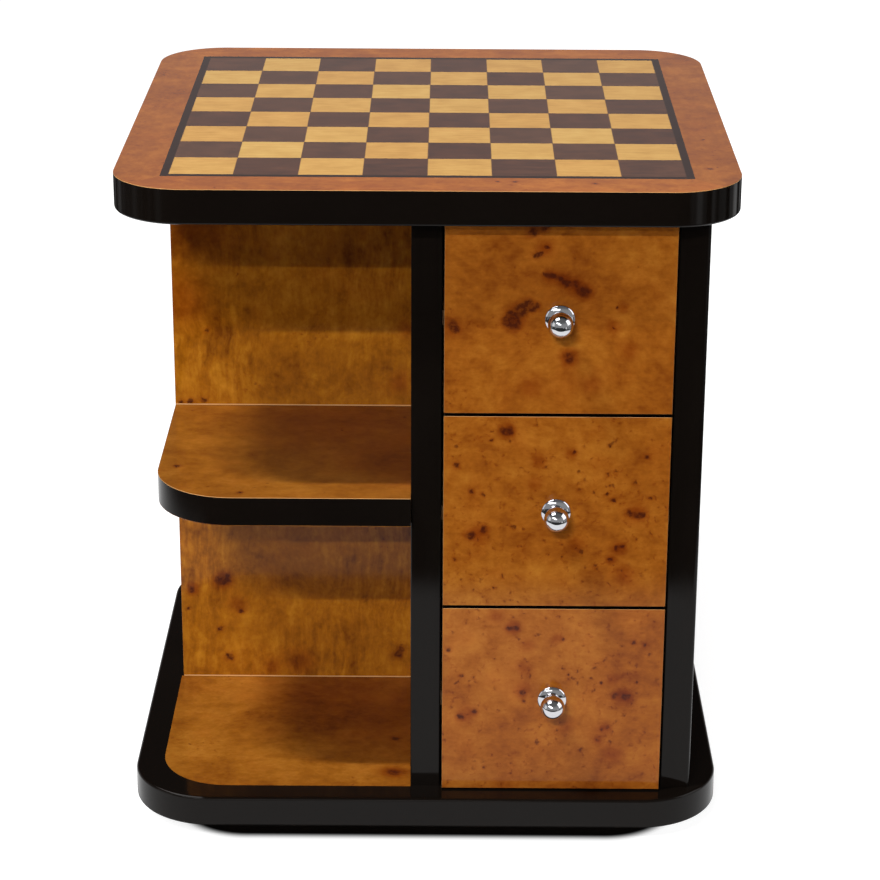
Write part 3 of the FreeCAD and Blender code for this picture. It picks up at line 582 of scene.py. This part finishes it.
black = lacquer("black_lacquer", srgb(12, 8, 6), srgb(17, 13, 10), 0.05)
black_edges = lacquer("black_edge_lacquer", srgb(13, 9, 7), srgb(21, 17, 14), 0.16)
stringing = lacquer("board_stringing", srgb(30, 15, 12), srgb(42, 23, 19), 0.07, STRINGING_SPECULAR)
chrome = metal("knob_chrome", srgb(222, 222, 225), 0.03, 0.0003 * MM)
steel = metal("screw_steel", srgb(168, 166, 160), 0.28, 0.01 * MM)
beech = plain_wood("beech", srgb(186, 142, 98), srgb(214, 176, 132), ALONG_Y, 0.5, 0.42)
plywood = plain_wood("plywood", srgb(198, 164, 118), srgb(222, 194, 150), ALONG_X, 0.12, 0.5)
bead_wood = plain_wood("bead_wood", srgb(186, 138, 84), srgb(214, 170, 118), ALONG_X, 0.3, 0.3)
pressed_board = particle_board("core_board")
glide_plastic = plastic("glide_plastic")
light_wood = board_wood("light_squares_wood", GOLD, 0.8, 0.7, 0.45)
dark_wood = board_wood("dark_squares_wood", ROSEWOOD, 1.5, 0.6, 1.0)


# ---------------------------------------------------------------- marks in the veneers

# Places and radii in millimetres. On a drawer they are measured from its knob to the right and up, on
# the wall from the middle of the table and the floor, on a level sheet from the middle of the table.
UPPER_EYES = (
    (-27, 86, 4.6), (-17, 90, 3.2), (-13, 93, 2), (-24, 64, 3.6), (-19, 66, 2.4), (-14, 72, 1.8),
    (-34, 13, 5.2), (-26, 12, 3.6), (-36, 6, 3), (-47, 4, 5), (-42, -5, 5.4), (-51, -1, 3.6),
    (10, -38, 5.6), (-103, -6, 5), (-98, -10, 3), (23, 27, 5.2), (15, 36, 2.6), (8, 35, 3.4),
    (-8, 43, 3.6), (55, 13, 1.6), (52, -8, 1.4), (-14, 44, 2.2), (-1, 40, 2.8), (4, 37, 2.2),
    (18, 31, 3), (-40, 9, 3.2), (-46, -2, 3.4), (-30, 17, 2.8), (-21, 14, 2.2),
)
UPPER_SMEARS = (
    (-15, 70, 10), (-9, 42, 9), (3, 40, 10), (13, 34, 11), (23, 28, 9), (52, -8, 9), (60, 12, 7),
    (68, -30, 10), (-27, -69, 13), (32, -67, 13), (-44, 0, 11), (10, -38, 9),
)
LEAF_EYES = (
    (-52, 86, 3.8), (-46, 85, 3.4), (-97, 50, 3), (-63, 75, 1.6), (17, 64, 2.4), (51, 72, 1.8),
    (88, 59, 2.6), (-83, 21, 2.4), (-71, 19, 2.2), (-84, -24, 4.2), (-70, -19, 3.4), (72, 0, 3),
    (81, -1, 4), (86, 0, 2.6), (56, 14, 2.6), (92, 15, 1.8), (23, 24, 1.8), (66, -36, 2.4),
    (60, -37, 2.2), (55, -50, 2.6), (-99, -50, 2), (-52, -68, 1.6), (-59, -81, 1.6), (48, 20, 1.6),
)
LEAF_SMEARS = (
    (20, -33, 10), (70, -66, 12), (80, -1, 13), (-78, -22, 11), (-18, 55, 9), (-49, 86, 10),
    (-20, 30, 9), (12, 62, 7), (62, -38, 9), (55, -49, 7),
)
LOWER_EYES = ((-43, 79, 3.6), (-36, 80, 2.6), (9, 67, 1.6), (92, 62, 2), (-30, 8, 2.6), (-28, 0, 2))
LOWER_SMEARS = ((-29, 12, 10), (-40, 80, 9), (60, 24, 9))
WALL_EYES = (
    (-234, 467, 2.5), (-264, 386, 2.4), (-254, 386, 3), (-240, 389, 2.4), (-226, 178, 6.2),
    (-219, 182, 4), (-258, 168, 4), (-205, 141, 2.6), (-262, 145, 2), (-228, 121, 3), (-219, 87, 4),
    (-33, 91, 4), (-28, 97, 3),
)
WALL_SMEARS = (
    (-171, 75, 10), (-223, 178, 12), (-24, 470, 11), (-30, 410, 13), (-256, 168, 9),
    (-208, 150, 12), (-140, 81, 18),
)
# Painted shade at the top left of the wall, under the top slab's overhang
WALL_PAINTED_SHADE = ((-258, 610, 90), (-262, 500, 45))
BASE_EYES = ((-33, -242, 6), (-32, -166, 4))
BASE_SMEARS = ((-35, -242, 14),)
# Painted shade on the base inlay, towards the divider and the wall, where the shelf and slab above shade it
BASE_PAINTED_SHADE = ((-10, -100, 145), (-90, -70, 115))
SHELF_EYES = ((-251, -196, 3), (-183, -267, 2.6))
# Painted shade on the shelf top, towards the divider and the wall, where the top slab shades it
SHELF_PAINTED_SHADE = ((-15, -150, 130), (-90, -70, 120))
BORDER_EYES = ((-290, 163, 2), (274, -105, 2), (270, -216, 3), (67, -266, 2), (82, -266, 2), (158, -272, 2))

# The lower drawer's leaf was cut next to the middle one's: it repeats the marks a little to the side,
# with smaller eyes, and has some of its own.
LEAF_SHIFT = (-8, 5)
EYE_SHRINKAGE = 0.8
REPEATED_BELOW = 60  # height over the knob from which the middle leaf's eyes aren't repeated

# Seed, tones, eyes, smears and pips of the leaf on each drawer
LEAVES = {
    "upper": (1.3, AMBER, UPPER_EYES, UPPER_SMEARS, 0.25),
    "middle": (4.6, AMBER, LEAF_EYES, LEAF_SMEARS, 0.85),
    "lower": (4.6, RUSSET, LEAF_EYES, LEAF_SMEARS, 0.85),
}

# Added to the seed and the pips of the leaves on the rear drawers
REAR_SEED = 11.0
REAR_PIPS = 0.35


def on_front(spots, x, y, z):
    """Places and radii in metres of marks on a sheet that faces the front."""
    return [((x + right * MM, y, z + up * MM), radius * MM) for right, up, radius in spots]


def on_top(spots, z):
    """Places and radii in metres of marks on a sheet that faces up."""
    return [((x * MM, y * MM, z), radius * MM) for x, y, radius in spots]


# ---------------------------------------------------------------- the static body

def dress(material, *names):
    """Gives CAD nodes that keep their own shape a finish."""
    for name in names:
        for slot in nodes[name].material_slots:
            slot.material = material


def slab_edges():
    """Black lipping round both slabs, with softened arrises."""
    for name, replaced, corner, upper_arris in (
        ("top_edge", "top_edge_lipping", TOP_CORNER, 0.0),
        ("base_edge", "base_edge_lipping", BASE_CORNER, SLAB_ARRIS),
    ):
        low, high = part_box(replaced)
        route = rounded([(x, y, corner) for x, y in (low[:2], (high.x, low.y), high[:2], (low.x, high.y))])
        section = rounded([
            (-EDGING, low.z, 0),
            (0, low.z, SLAB_ARRIS),
            (0, high.z, upper_arris),
            (-EDGING, high.z, 0),
        ], ARRIS_STEPS)
        mesh = loft(edging(route, section), closed=True)
        piece(name, mesh, "table", "black_lacquer", black, replaced)


def top_border():
    """Four mitred leaves of burl round the board, their outer arris softened."""
    low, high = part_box("top_border_veneer")
    outer = high.x
    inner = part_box("board_stringing")[1].x
    corner_points = ARC_STEPS + 1
    path = rounded([(-outer, -outer, TOP_CORNER), (outer, -outer, TOP_CORNER),
                    (outer, outer, TOP_CORNER), (-outer, outer, TOP_CORNER)])
    for index, side in enumerate(("front", "right", "back", "left")):
        lengthwise = side in ("front", "back")
        start = index * corner_points + ARC_STEPS // 2
        leaf = [path[(start + step) % len(path)] for step in range(corner_points + 1)]
        rings = []
        for point, normal in leaf:
            near = Vector([max(-inner, min(inner, value)) for value in point])
            if lengthwise:
                near.y = math.copysign(inner, near.y)
            else:
                near.x = math.copysign(inner, near.x)
            rings.append([
                (*near, low.z),
                (*point, low.z),
                *[(*(point - normal * inset), high.z - drop) for inset, drop in softened(VENEER_ARRIS)],
                (*near, high.z),
            ])
        along, tones = (ALONG_X, TAN) if lengthwise else (ALONG_Y, DEEP_TAN)
        veneer = burl("border_burl_" + side, 3.1 + index, along, tones, ((0, 0, 1), high.z),
                      on_top(BORDER_EYES, high.z), pips=0.4, cloud=1.3, curl=1.1, streak=0.5)
        replaced = ("top_border_veneer",) if side == "front" else ()
        piece("top_border_" + side, loft(rings), "table", "border_burl", veneer, *replaced)


def upright_edges():
    """Black lipping on the free ends of the dividers and side panels."""
    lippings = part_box("upright_lippings")
    front, half_width = lippings[0].y, lippings[1].x
    low, high = (corner.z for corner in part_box("cross_wall"))
    for name, left, right, outer in (
        ("divider_edge", -DIVIDER_HALF, DIVIDER_HALF, UPRIGHT_ARRIS),
        ("panel_edge", half_width - 2 * DIVIDER_HALF, half_width, UPRIGHT_CORNER),
    ):
        plan = rounded([
            (left, front, UPRIGHT_ARRIS),
            (right, front, outer),
            (right, front + LIPPING, 0),
            (left, front + LIPPING, 0),
        ], ARRIS_STEPS)
        for end, turned in ENDS:
            replaced = ("upright_lippings",) if (name, end) == ("divider_edge", "front") else ()
            piece(f"{end}_{name}", loft(plate(plan, low, high)), "table", "black_lacquer", black,
                  *replaced, turned=turned)


def shelves():
    """Edging along the two free sides of each shelf, and the veneer above and below it."""
    low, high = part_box("front_shelf_veneers")
    route = [(low.x, high.y, 0), (low.x, low.y, SHELF_CORNER), (high.x, low.y, 0)]
    section = rounded([
        (-EDGING, low.z + VENEER, 0),
        (0, low.z + VENEER, SHELF_EDGE_ARRIS),
        (0, high.z - VENEER, SHELF_EDGE_ARRIS),
        (-EDGING, high.z - VENEER, 0),
    ], ARRIS_STEPS)
    outline = rounded([*route, (high.x, high.y, 0)])
    for end, turned in ENDS:
        piece(end + "_shelf_edge", loft(edging(rounded(route, open_ended=True), section)), "table",
              "black_lacquer", black, end + "_shelf_edging", turned=turned)

        rings = plate(outline, high.z - VENEER, high.z, upper_arris=VENEER_ARRIS)
        # The front shelf has listed eyes and painted shade where the slab above shades it
        eyes, painted_shade = ((), ()) if turned else (on_top(SHELF_EYES, high.z), on_top(SHELF_PAINTED_SHADE, high.z))
        veneer = burl(end + "_shelf_top_burl", 2.2, ALONG_X, HONEY_AND_SHEEN, ((0, 0, 1), high.z), eyes,
                      painted_shade=painted_shade, pips=0.1, curl=0.45)
        piece(end + "_shelf_top_veneer", loft(rings), "table", "burl_veneer", veneer,
              end + "_shelf_veneers", turned=turned)

        rings = plate(outline, low.z, low.z + VENEER, lower_arris=VENEER_ARRIS)
        veneer = burl(end + "_shelf_under_burl", 6.4, ALONG_X, HONEY_AND_SHEEN, None, pips=0.1, curl=0.45)
        piece(end + "_shelf_under_veneer", loft(rings), "table", "burl_veneer", veneer, turned=turned)


def beads():
    """Thin pale beads that close the joint at the foot of the wall, on the shelf and on the base."""
    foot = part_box("wall_veneers")[0]
    route = rounded([
        (-DIVIDER_HALF - BEAD_GAP, foot.y, 0),
        (foot.x + BEAD_SETBACK, foot.y, 0),
    ], open_ended=True)
    for name, carrier in (("shelf_bead", "front_shelf_veneers"), ("base_bead", "base_inlay_veneers")):
        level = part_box(carrier)[1].z
        section = rounded([
            (-BEAD, level, BEAD_ROUND),
            (0, level, 0),
            (0, level + BEAD, 0),
            (-BEAD_TOP, level + BEAD, BEAD_ROUND),
        ], ARRIS_STEPS)
        for end, turned in ENDS:
            piece(f"{end}_{name}", loft(edging(route, section)), "table", "light_veneer", bead_wood,
                  turned=turned)


def wall_sheet(end, turned):
    """The veneer of the wall at the back of the open bays, its free arris softened."""
    low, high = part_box("wall_veneers")
    front = low.y
    outline = rectangle(low.x, -DIVIDER_HALF, low.z, high.z)
    rings = plate(outline, -front - VENEER, -front, upper_arris=VENEER_ARRIS * 0.5)
    if turned:
        seed, facing = 12.9, (0, 1, 0)
        marks = (), (), ()
    else:
        seed, facing = 7.3, (0, -1, 0)
        # The front wall's marks include painted shade under the top slab
        marks = [on_front(spots, 0, front, 0) for spots in (WALL_EYES, WALL_SMEARS, WALL_PAINTED_SHADE)]
    veneer = burl(end + "_wall_burl", seed, ALONG_Z, WALNUT, (facing, -front), *marks,
                  pips=0.1, cloud=0.9, curl=0.7, streak=0.85, pale=0.4)
    replaced = () if turned else ("wall_veneers",)
    piece(end + "_wall_veneer", upright(loft(rings)), "table", "burl_veneer", veneer,
          *replaced, turned=turned)


def base_inlay():
    """Burl of the open quarters of the base, with painted shade towards the middle of the table where the
    shelf and slab above shade it.
    """
    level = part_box("base_inlay_veneers")[1].z
    marks = [on_top(spots, level) for spots in (BASE_EYES, BASE_SMEARS, BASE_PAINTED_SHADE)]
    veneer = burl("base_burl", 5.7, ALONG_X, HONEY_AND_SHEEN, ((0, 0, 1), level), *marks, pips=0.15, curl=0.6)
    dress(veneer, "base_inlay_veneers")


slab_edges()
top_border()
upright_edges()
shelves()
beads()
for end, turned in ENDS:
    wall_sheet(end, turned)
base_inlay()
dress(light_wood, "light_squares")
dress(dark_wood, "dark_squares")
dress(stringing, "board_stringing")
dress(black, "top_core", "base_core", "plinth_frame")
dress(pressed_board, "cross_wall", "front_divider", "rear_divider", "right_side_panel", "left_side_panel",
      "front_shelf_core", "rear_shelf_core")
dress(beech, "drawer_runners", "carcass_dowels")
dress(steel, "base_screws", "runner_screws")
dress(glide_plastic, "floor_glides")
dress(burl("divider_burl", 8.1, ALONG_Z, AMBER, None, pips=0.3), "divider_veneers")
dress(burl("side_burl", 9.4, ALONG_Z, AMBER, None, pips=0.7, curl=0.6), "side_veneers")


# ---------------------------------------------------------------- the drawers

def drawer_leaf(drawer, storey, turned):
    """The burl of a drawer's face. The front ones have their marks at known places."""
    seed, tones, eyes, smears, pips = LEAVES[storey]
    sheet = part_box(drawer + "_veneer")
    if turned:
        return burl("burl_" + drawer, seed + REAR_SEED, ALONG_X, tones, ((0, 1, 0), sheet[1].y),
                    pips=pips + REAR_PIPS, curl=0.7)
    low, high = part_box(drawer + "_knob")
    place = ((low.x + high.x) / 2, sheet[0].y, (low.z + high.z) / 2)
    if storey == "lower":
        right, up = LEAF_SHIFT
        repeated = [(x + right, z + up, radius * EYE_SHRINKAGE)
                    for x, z, radius in eyes if z < REPEATED_BELOW]
        eyes = repeated + list(LOWER_EYES)
        smears = [(x + right, z + up, radius) for x, z, radius in smears] + list(LOWER_SMEARS)
    return burl("burl_" + drawer, seed, ALONG_X, tones, ((0, -1, 0), -place[1]), on_front(eyes, *place),
                on_front(smears, *place), pips=pips, cloud=1.0, curl=0.8, streak=0.3)


def drawer_front(drawer, veneer, turned):
    """The veneered sheet of a drawer's face, with eased arrises."""
    name = drawer + "_veneer"
    low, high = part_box(name)
    if turned:
        left, right, front = -high.x, -low.x, -high.y
    else:
        left, right, front = low.x, high.x, low.y
    rings = plate(rectangle(left, right, low.z, high.z), -front - VENEER, -front, upper_arris=VENEER_ARRIS)
    piece(drawer + "_front", upright(loft(rings)), drawer, "burl_veneer", veneer, name, turned=turned)


def knob(drawer, turned):
    """Chromed dome and ball, and the machine screw that holds them through the drawer's face."""
    name = drawer + "_knob"
    low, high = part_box(name)
    middle = (low + high) / 2
    reach = (BALL_CENTRE + BALL_RADIUS) * MM
    face = -(high.y - reach) if turned else low.y + reach
    centre = Vector((-middle.x if turned else middle.x, face, middle.z))

    angles = [math.radians(DOME_END * step / DOME_STEPS) for step in range(DOME_STEPS + 1)]
    dome = [(DOME_RISE * math.sin(angle), DOME_RADIUS * math.cos(angle)) for angle in angles]
    meeting = math.degrees(math.acos(-math.sqrt(1 - (NECK_RADIUS / BALL_RADIUS) ** 2)))
    ball = arc(BALL_CENTRE, BALL_RADIUS, meeting, BALL_TIP, BALL_STEPS)
    shape = loft(turning([*dome, *COVE, *ball], centre, KNOB_STEPS))
    piece(name + "_turned", shape, drawer, "knob_chrome", chrome, name, turned=turned)

    head = [(FACE_BACK + height, radius) for height, radius in SCREW_HEAD]
    shape = loft(turning([*head, *SCREW_SHANK], centre, SCREW_STEPS))
    piece(name + "_screw", shape, drawer, "screw_steel", steel, turned=turned)


for end, turned in ENDS:
    for storey in LEAVES:
        drawer = f"{end}_{storey}_drawer"
        dress(black_edges, drawer + "_face")
        dress(beech, drawer + "_walls")
        dress(plywood, drawer + "_bottom")
        drawer_front(drawer, drawer_leaf(drawer, storey, turned), turned)
        knob(drawer, turned)


# ---------------------------------------------------------------- studio

# The floor for matt light, for the camera and for gloss. A pair of distances is where a change starts
# and where it ends.
FLOOR_HALF = 6.0
PAPER = grey(0.60), grey(0.63)
# Painted contact shadow: the camera's floor goes dark close round the plinth
CONTACT_SHADOW = (-3 * MM, 11.5 * MM)  # past the plinth's edge, from dark to clear
CONTACT_SHADOW_PAPER = grey(0.01)
OPEN_PAPER = grey(0.4)
OPEN_GLOW = 0.85
LIT_FRONT = (-0.98, -0.86)  # Y where the lit patch starts
LIT_REACH = (1.35, 0.95)  # how far from the middle of the table it goes
# Painted shadow in reflections: the lit patch fades to dark close round the plinth
LIT_PAST_PLINTH = (0.03, 0.09)
LIT_LEVELS = (0.03, 1.0)  # brightness beside the patch and on it
WINDOWS_PAST = (1.2, 1.6)  # how far out to the side the light of the windows lies
RIGHT_WINDOWS = 0.8
LEFT_WINDOWS = 0.25

# The room that gloss sees, by the way a ray goes: its upward, sideways and backward shares
BACKDROP_LEVEL = 0.36
BACKDROP_TOP = (0.34, 0.29)
BACKDROP_START = (0.0, 0.2)
BACKDROP_HUE = (1.0, 0.9, 0.88, 1.0)
WALL_LEVEL = 0.3
WALL_START = (0.72, 0.9)
WALL_TOP = (0.62, 0.45)
FRONT_LEVELS = (0.03, 0.3)  # brightness behind and in front
FRONT_START = (0.1, -0.3)
FRONT_TOP = (0.7, 0.3)
FRONT_ABOVE = 0.4  # share of its brightness that the front keeps high up
LIGHT_EDGE = 0.02  # softness of the lights' edges
FILL = 0.05

# The way to each light in gloss, the sines of its half width and half height, and its brightness
GLOSS_LIGHTS = (
    ((-0.42, 0.05, 0.90), 0.38, 0.24, 4.0),  # overhead
    ((0.90, -0.10, 0.42), 0.30, 0.30, 1.8),  # right window
    ((-0.93, -0.30, 0.20), 0.20, 0.22, 0.8),  # left window
    ((-0.20, -0.883, 0.40), 0.22, 0.07, 3.0),  # front strip
    ((-0.44, -0.74, 0.54), 0.24, 0.09, 3.0),  # higher front strip
)

# Name, place, aim, size and power in watts of the lamps
LAMPS = (
    ("key_strip", (-2.0, -8.0, 6.09), (0.0, -0.15, 0.4), (3.0, 0.12), 515),
    ("front_strip", (-1.3, -10.0, 5.05), (0.0, -0.15, 0.4), (3.0, 0.12), 258),
    ("overhead_strip", (-1.7, -1.1, 4.5), (0.0, 0.0, 0.6), (0.8, 0.1), 162),
    ("rear_fill", (2.7, 2.7, 1.0), (0.0, 0.0, 0.4), (1.8, 0.9), 125),
)

CAMERA_PLACE = (0.01953, -2.77482, 1.38776)
CAMERA_LENS = 112.457
CAMERA_SENSOR = 36.0
CAMERA_TURN = 0.14  # degrees to the left
CAMERA_DROP = 20.71  # degrees below level
CAMERA_ROLL = 0.31  # degrees


def floor_as_seen(look, past):
    """The floor for the camera: glowing white with faint shadows, and a painted shadow close round the
    plinth, where glow and paper fade to dark.
    """
    # Painted shadow: paper and glow go dark close round the plinth
    share = look.ease(past, *CONTACT_SHADOW)
    matt = look.shader("BsdfDiffuse", look.mix(share, CONTACT_SHADOW_PAPER, OPEN_PAPER))
    glow = look.shader("Emission", WHITE, Strength=look.math("MULTIPLY", share, OPEN_GLOW))
    return look.node("AddShader", {0: matt, 1: glow}).outputs[0]


def floor_in_gloss(look, past):
    """The floor for gloss: lit round the table but for a painted shadow close round the plinth, with the
    light of windows far to the sides.
    """
    axis = look.axes(look.place)
    away = look.measure("LENGTH", look.vector("MULTIPLY", look.place, (1.0, 1.0, 0.0)))
    lit = look.math("MULTIPLY", look.ease(axis[1], *LIT_FRONT), look.ease(away, *LIT_REACH))
    # Painted shadow: the lit patch goes dark close round the plinth
    lit = look.math("MULTIPLY", lit, look.ease(past, *LIT_PAST_PLINTH))
    way = look.node("CombineXYZ", {0: look.math("ARCTAN2", axis[1], axis[0])}).outputs[0]
    right = look.ease(axis[0], *WINDOWS_PAST, 0.0, RIGHT_WINDOWS)
    left = look.ease(axis[0], *[-distance for distance in WINDOWS_PAST], 0.0, LEFT_WINDOWS)
    windows = look.ease(look.noise(way, 3.2, 1.0), 0.40, 0.68)
    windows = look.math("MULTIPLY", windows, look.math("ADD", right, left))
    level = look.math("MAXIMUM", look.ease(lit, 0.0, 1.0, *LIT_LEVELS), windows)
    return look.shader("Emission", WHITE, Strength=level)


def studio_floor():
    """A white sheet. Matt light meets plain paper, while the camera and gloss each see their own floor."""
    look = Finish("floor_paper")
    look.nodes.remove(look.nodes["Principled BSDF"])
    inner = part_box("plinth_frame")[1].x - PLINTH_CORNER
    beyond = look.vector("SUBTRACT", look.vector("ABSOLUTE", look.place, (0, 0, 0)), (inner, inner, 0.0))
    beyond = look.measure("LENGTH", look.vector("MAXIMUM", beyond, (0.0, 0.0, 0.0)))
    past = look.math("SUBTRACT", beyond, PLINTH_CORNER)
    plain = look.shader("BsdfDiffuse", look.mix(look.noise(look.place, 30.0), *PAPER))
    ray = look.nodes.new("ShaderNodeLightPath").outputs
    reflected = look.math("MAXIMUM", ray["Is Glossy Ray"], ray["Is Transmission Ray"])
    out = look.mixed(ray["Is Camera Ray"], plain, floor_as_seen(look, past))
    out = look.mixed(reflected, out, floor_in_gloss(look, past))
    look.links.new(out, look.nodes["Material Output"].inputs["Surface"])

    mesh = bmesh.new()
    mesh.faces.new([mesh.verts.new((x * FLOOR_HALF, y * FLOOR_HALF, 0))
                    for x, y in ((-1, -1), (1, -1), (1, 1), (-1, 1))])
    linked("floor", mesh, look.material)


def strip_lamp(name, place, aim, size, power):
    """A strip of light at a place, level and lengthwise to the table's front. Gloss doesn't see it."""
    data = bpy.data.lights.new(name, "AREA")
    data.shape = "RECTANGLE"
    data.size, data.size_y = size
    data.energy = power
    lamp = bpy.data.objects.new(name, data)
    back = (Vector(place) - Vector(aim)).normalized()
    lengthwise = (Vector((1.0, 0.0, 0.0)) - back * back.x).normalized()
    across = back.cross(lengthwise)
    lamp.matrix_world = Matrix.Translation(place) @ Matrix((lengthwise, across, back)).transposed().to_4x4()
    lamp.visible_camera = False
    lamp.visible_glossy = False
    bpy.context.scene.collection.objects.link(lamp)


def room_in_gloss(look, place, axis):
    """Brightness of the room for gloss: backdrop behind, walls at the sides, dim front, and lights."""
    backdrop = look.ease(axis[2], *BACKDROP_TOP, 0.0, BACKDROP_LEVEL)
    backdrop = look.math("MULTIPLY", backdrop, look.ease(axis[1], *BACKDROP_START))
    walls = look.ease(look.math("ABSOLUTE", axis[0]), *WALL_START, 0.0, WALL_LEVEL)
    walls = look.math("MULTIPLY", walls, look.ease(axis[2], *WALL_TOP))
    front = look.ease(axis[1], *FRONT_START, *FRONT_LEVELS)
    front = look.math("MULTIPLY", front, look.ease(axis[2], *FRONT_TOP, FRONT_ABOVE, 1.0))
    room = look.math("MAXIMUM", look.math("MAXIMUM", backdrop, walls), front)
    for towards, half_width, half_height, brightness in GLOSS_LIGHTS:
        centre = Vector(towards).normalized()
        side = Vector((0.0, 0.0, 1.0)).cross(centre).normalized()
        rise = centre.cross(side)
        shape = look.ease(look.measure("DOT_PRODUCT", place, centre), 0.0, 0.1)
        for direction, half in ((side, half_width), (rise, half_height)):
            apart = look.math("ABSOLUTE", look.measure("DOT_PRODUCT", place, direction))
            shape = look.math("MULTIPLY", shape, look.ease(apart, half + LIGHT_EDGE, half))
        room = look.math("MAXIMUM", room, look.math("MULTIPLY", shape, brightness))
    return room


def studio_world():
    """White for the camera, an even fill for matt light, and for gloss a dim room with bright lights."""
    world = bpy.data.worlds.new("studio")
    world.use_nodes = True
    look = Tree(world.node_tree)
    look.nodes.clear()
    place = look.nodes.new("ShaderNodeTexCoord").outputs["Generated"]
    axis = look.axes(place)
    hue = look.mix(look.ease(axis[1], *BACKDROP_START), WHITE, BACKDROP_HUE)
    ray = look.nodes.new("ShaderNodeLightPath").outputs
    fill = look.shader("Background", WHITE, Strength=FILL)
    gloss = look.shader("Background", hue, Strength=room_in_gloss(look, place, axis))
    white = look.shader("Background", WHITE, Strength=1.0)
    seen = look.math("MAXIMUM", ray["Is Camera Ray"], ray["Is Transmission Ray"])
    out = look.mixed(seen, look.mixed(ray["Is Glossy Ray"], fill, gloss), white)
    look.links.new(out, look.nodes.new("ShaderNodeOutputWorld").inputs["Surface"])
    bpy.context.scene.world = world


def camera():
    """Looks down at the front, almost square on, from 2.8 m in front of the middle."""
    data = bpy.data.cameras.new("camera")
    data.sensor_width = CAMERA_SENSOR
    data.lens = CAMERA_LENS
    view = bpy.data.objects.new("camera", data)
    turn = Matrix.Rotation(math.radians(CAMERA_TURN), 4, "Z")
    tilt = Matrix.Rotation(math.radians(90 - CAMERA_DROP), 4, "X")
    roll = Matrix.Rotation(math.radians(CAMERA_ROLL), 4, "Z")
    view.matrix_world = Matrix.Translation(CAMERA_PLACE) @ turn @ tilt @ roll
    bpy.context.scene.collection.objects.link(view)
    bpy.context.scene.camera = view


studio_floor()
for lamp in LAMPS:
    strip_lamp(*lamp)
studio_world()
camera()
bpy.context.scene.view_settings.view_transform = "Standard"
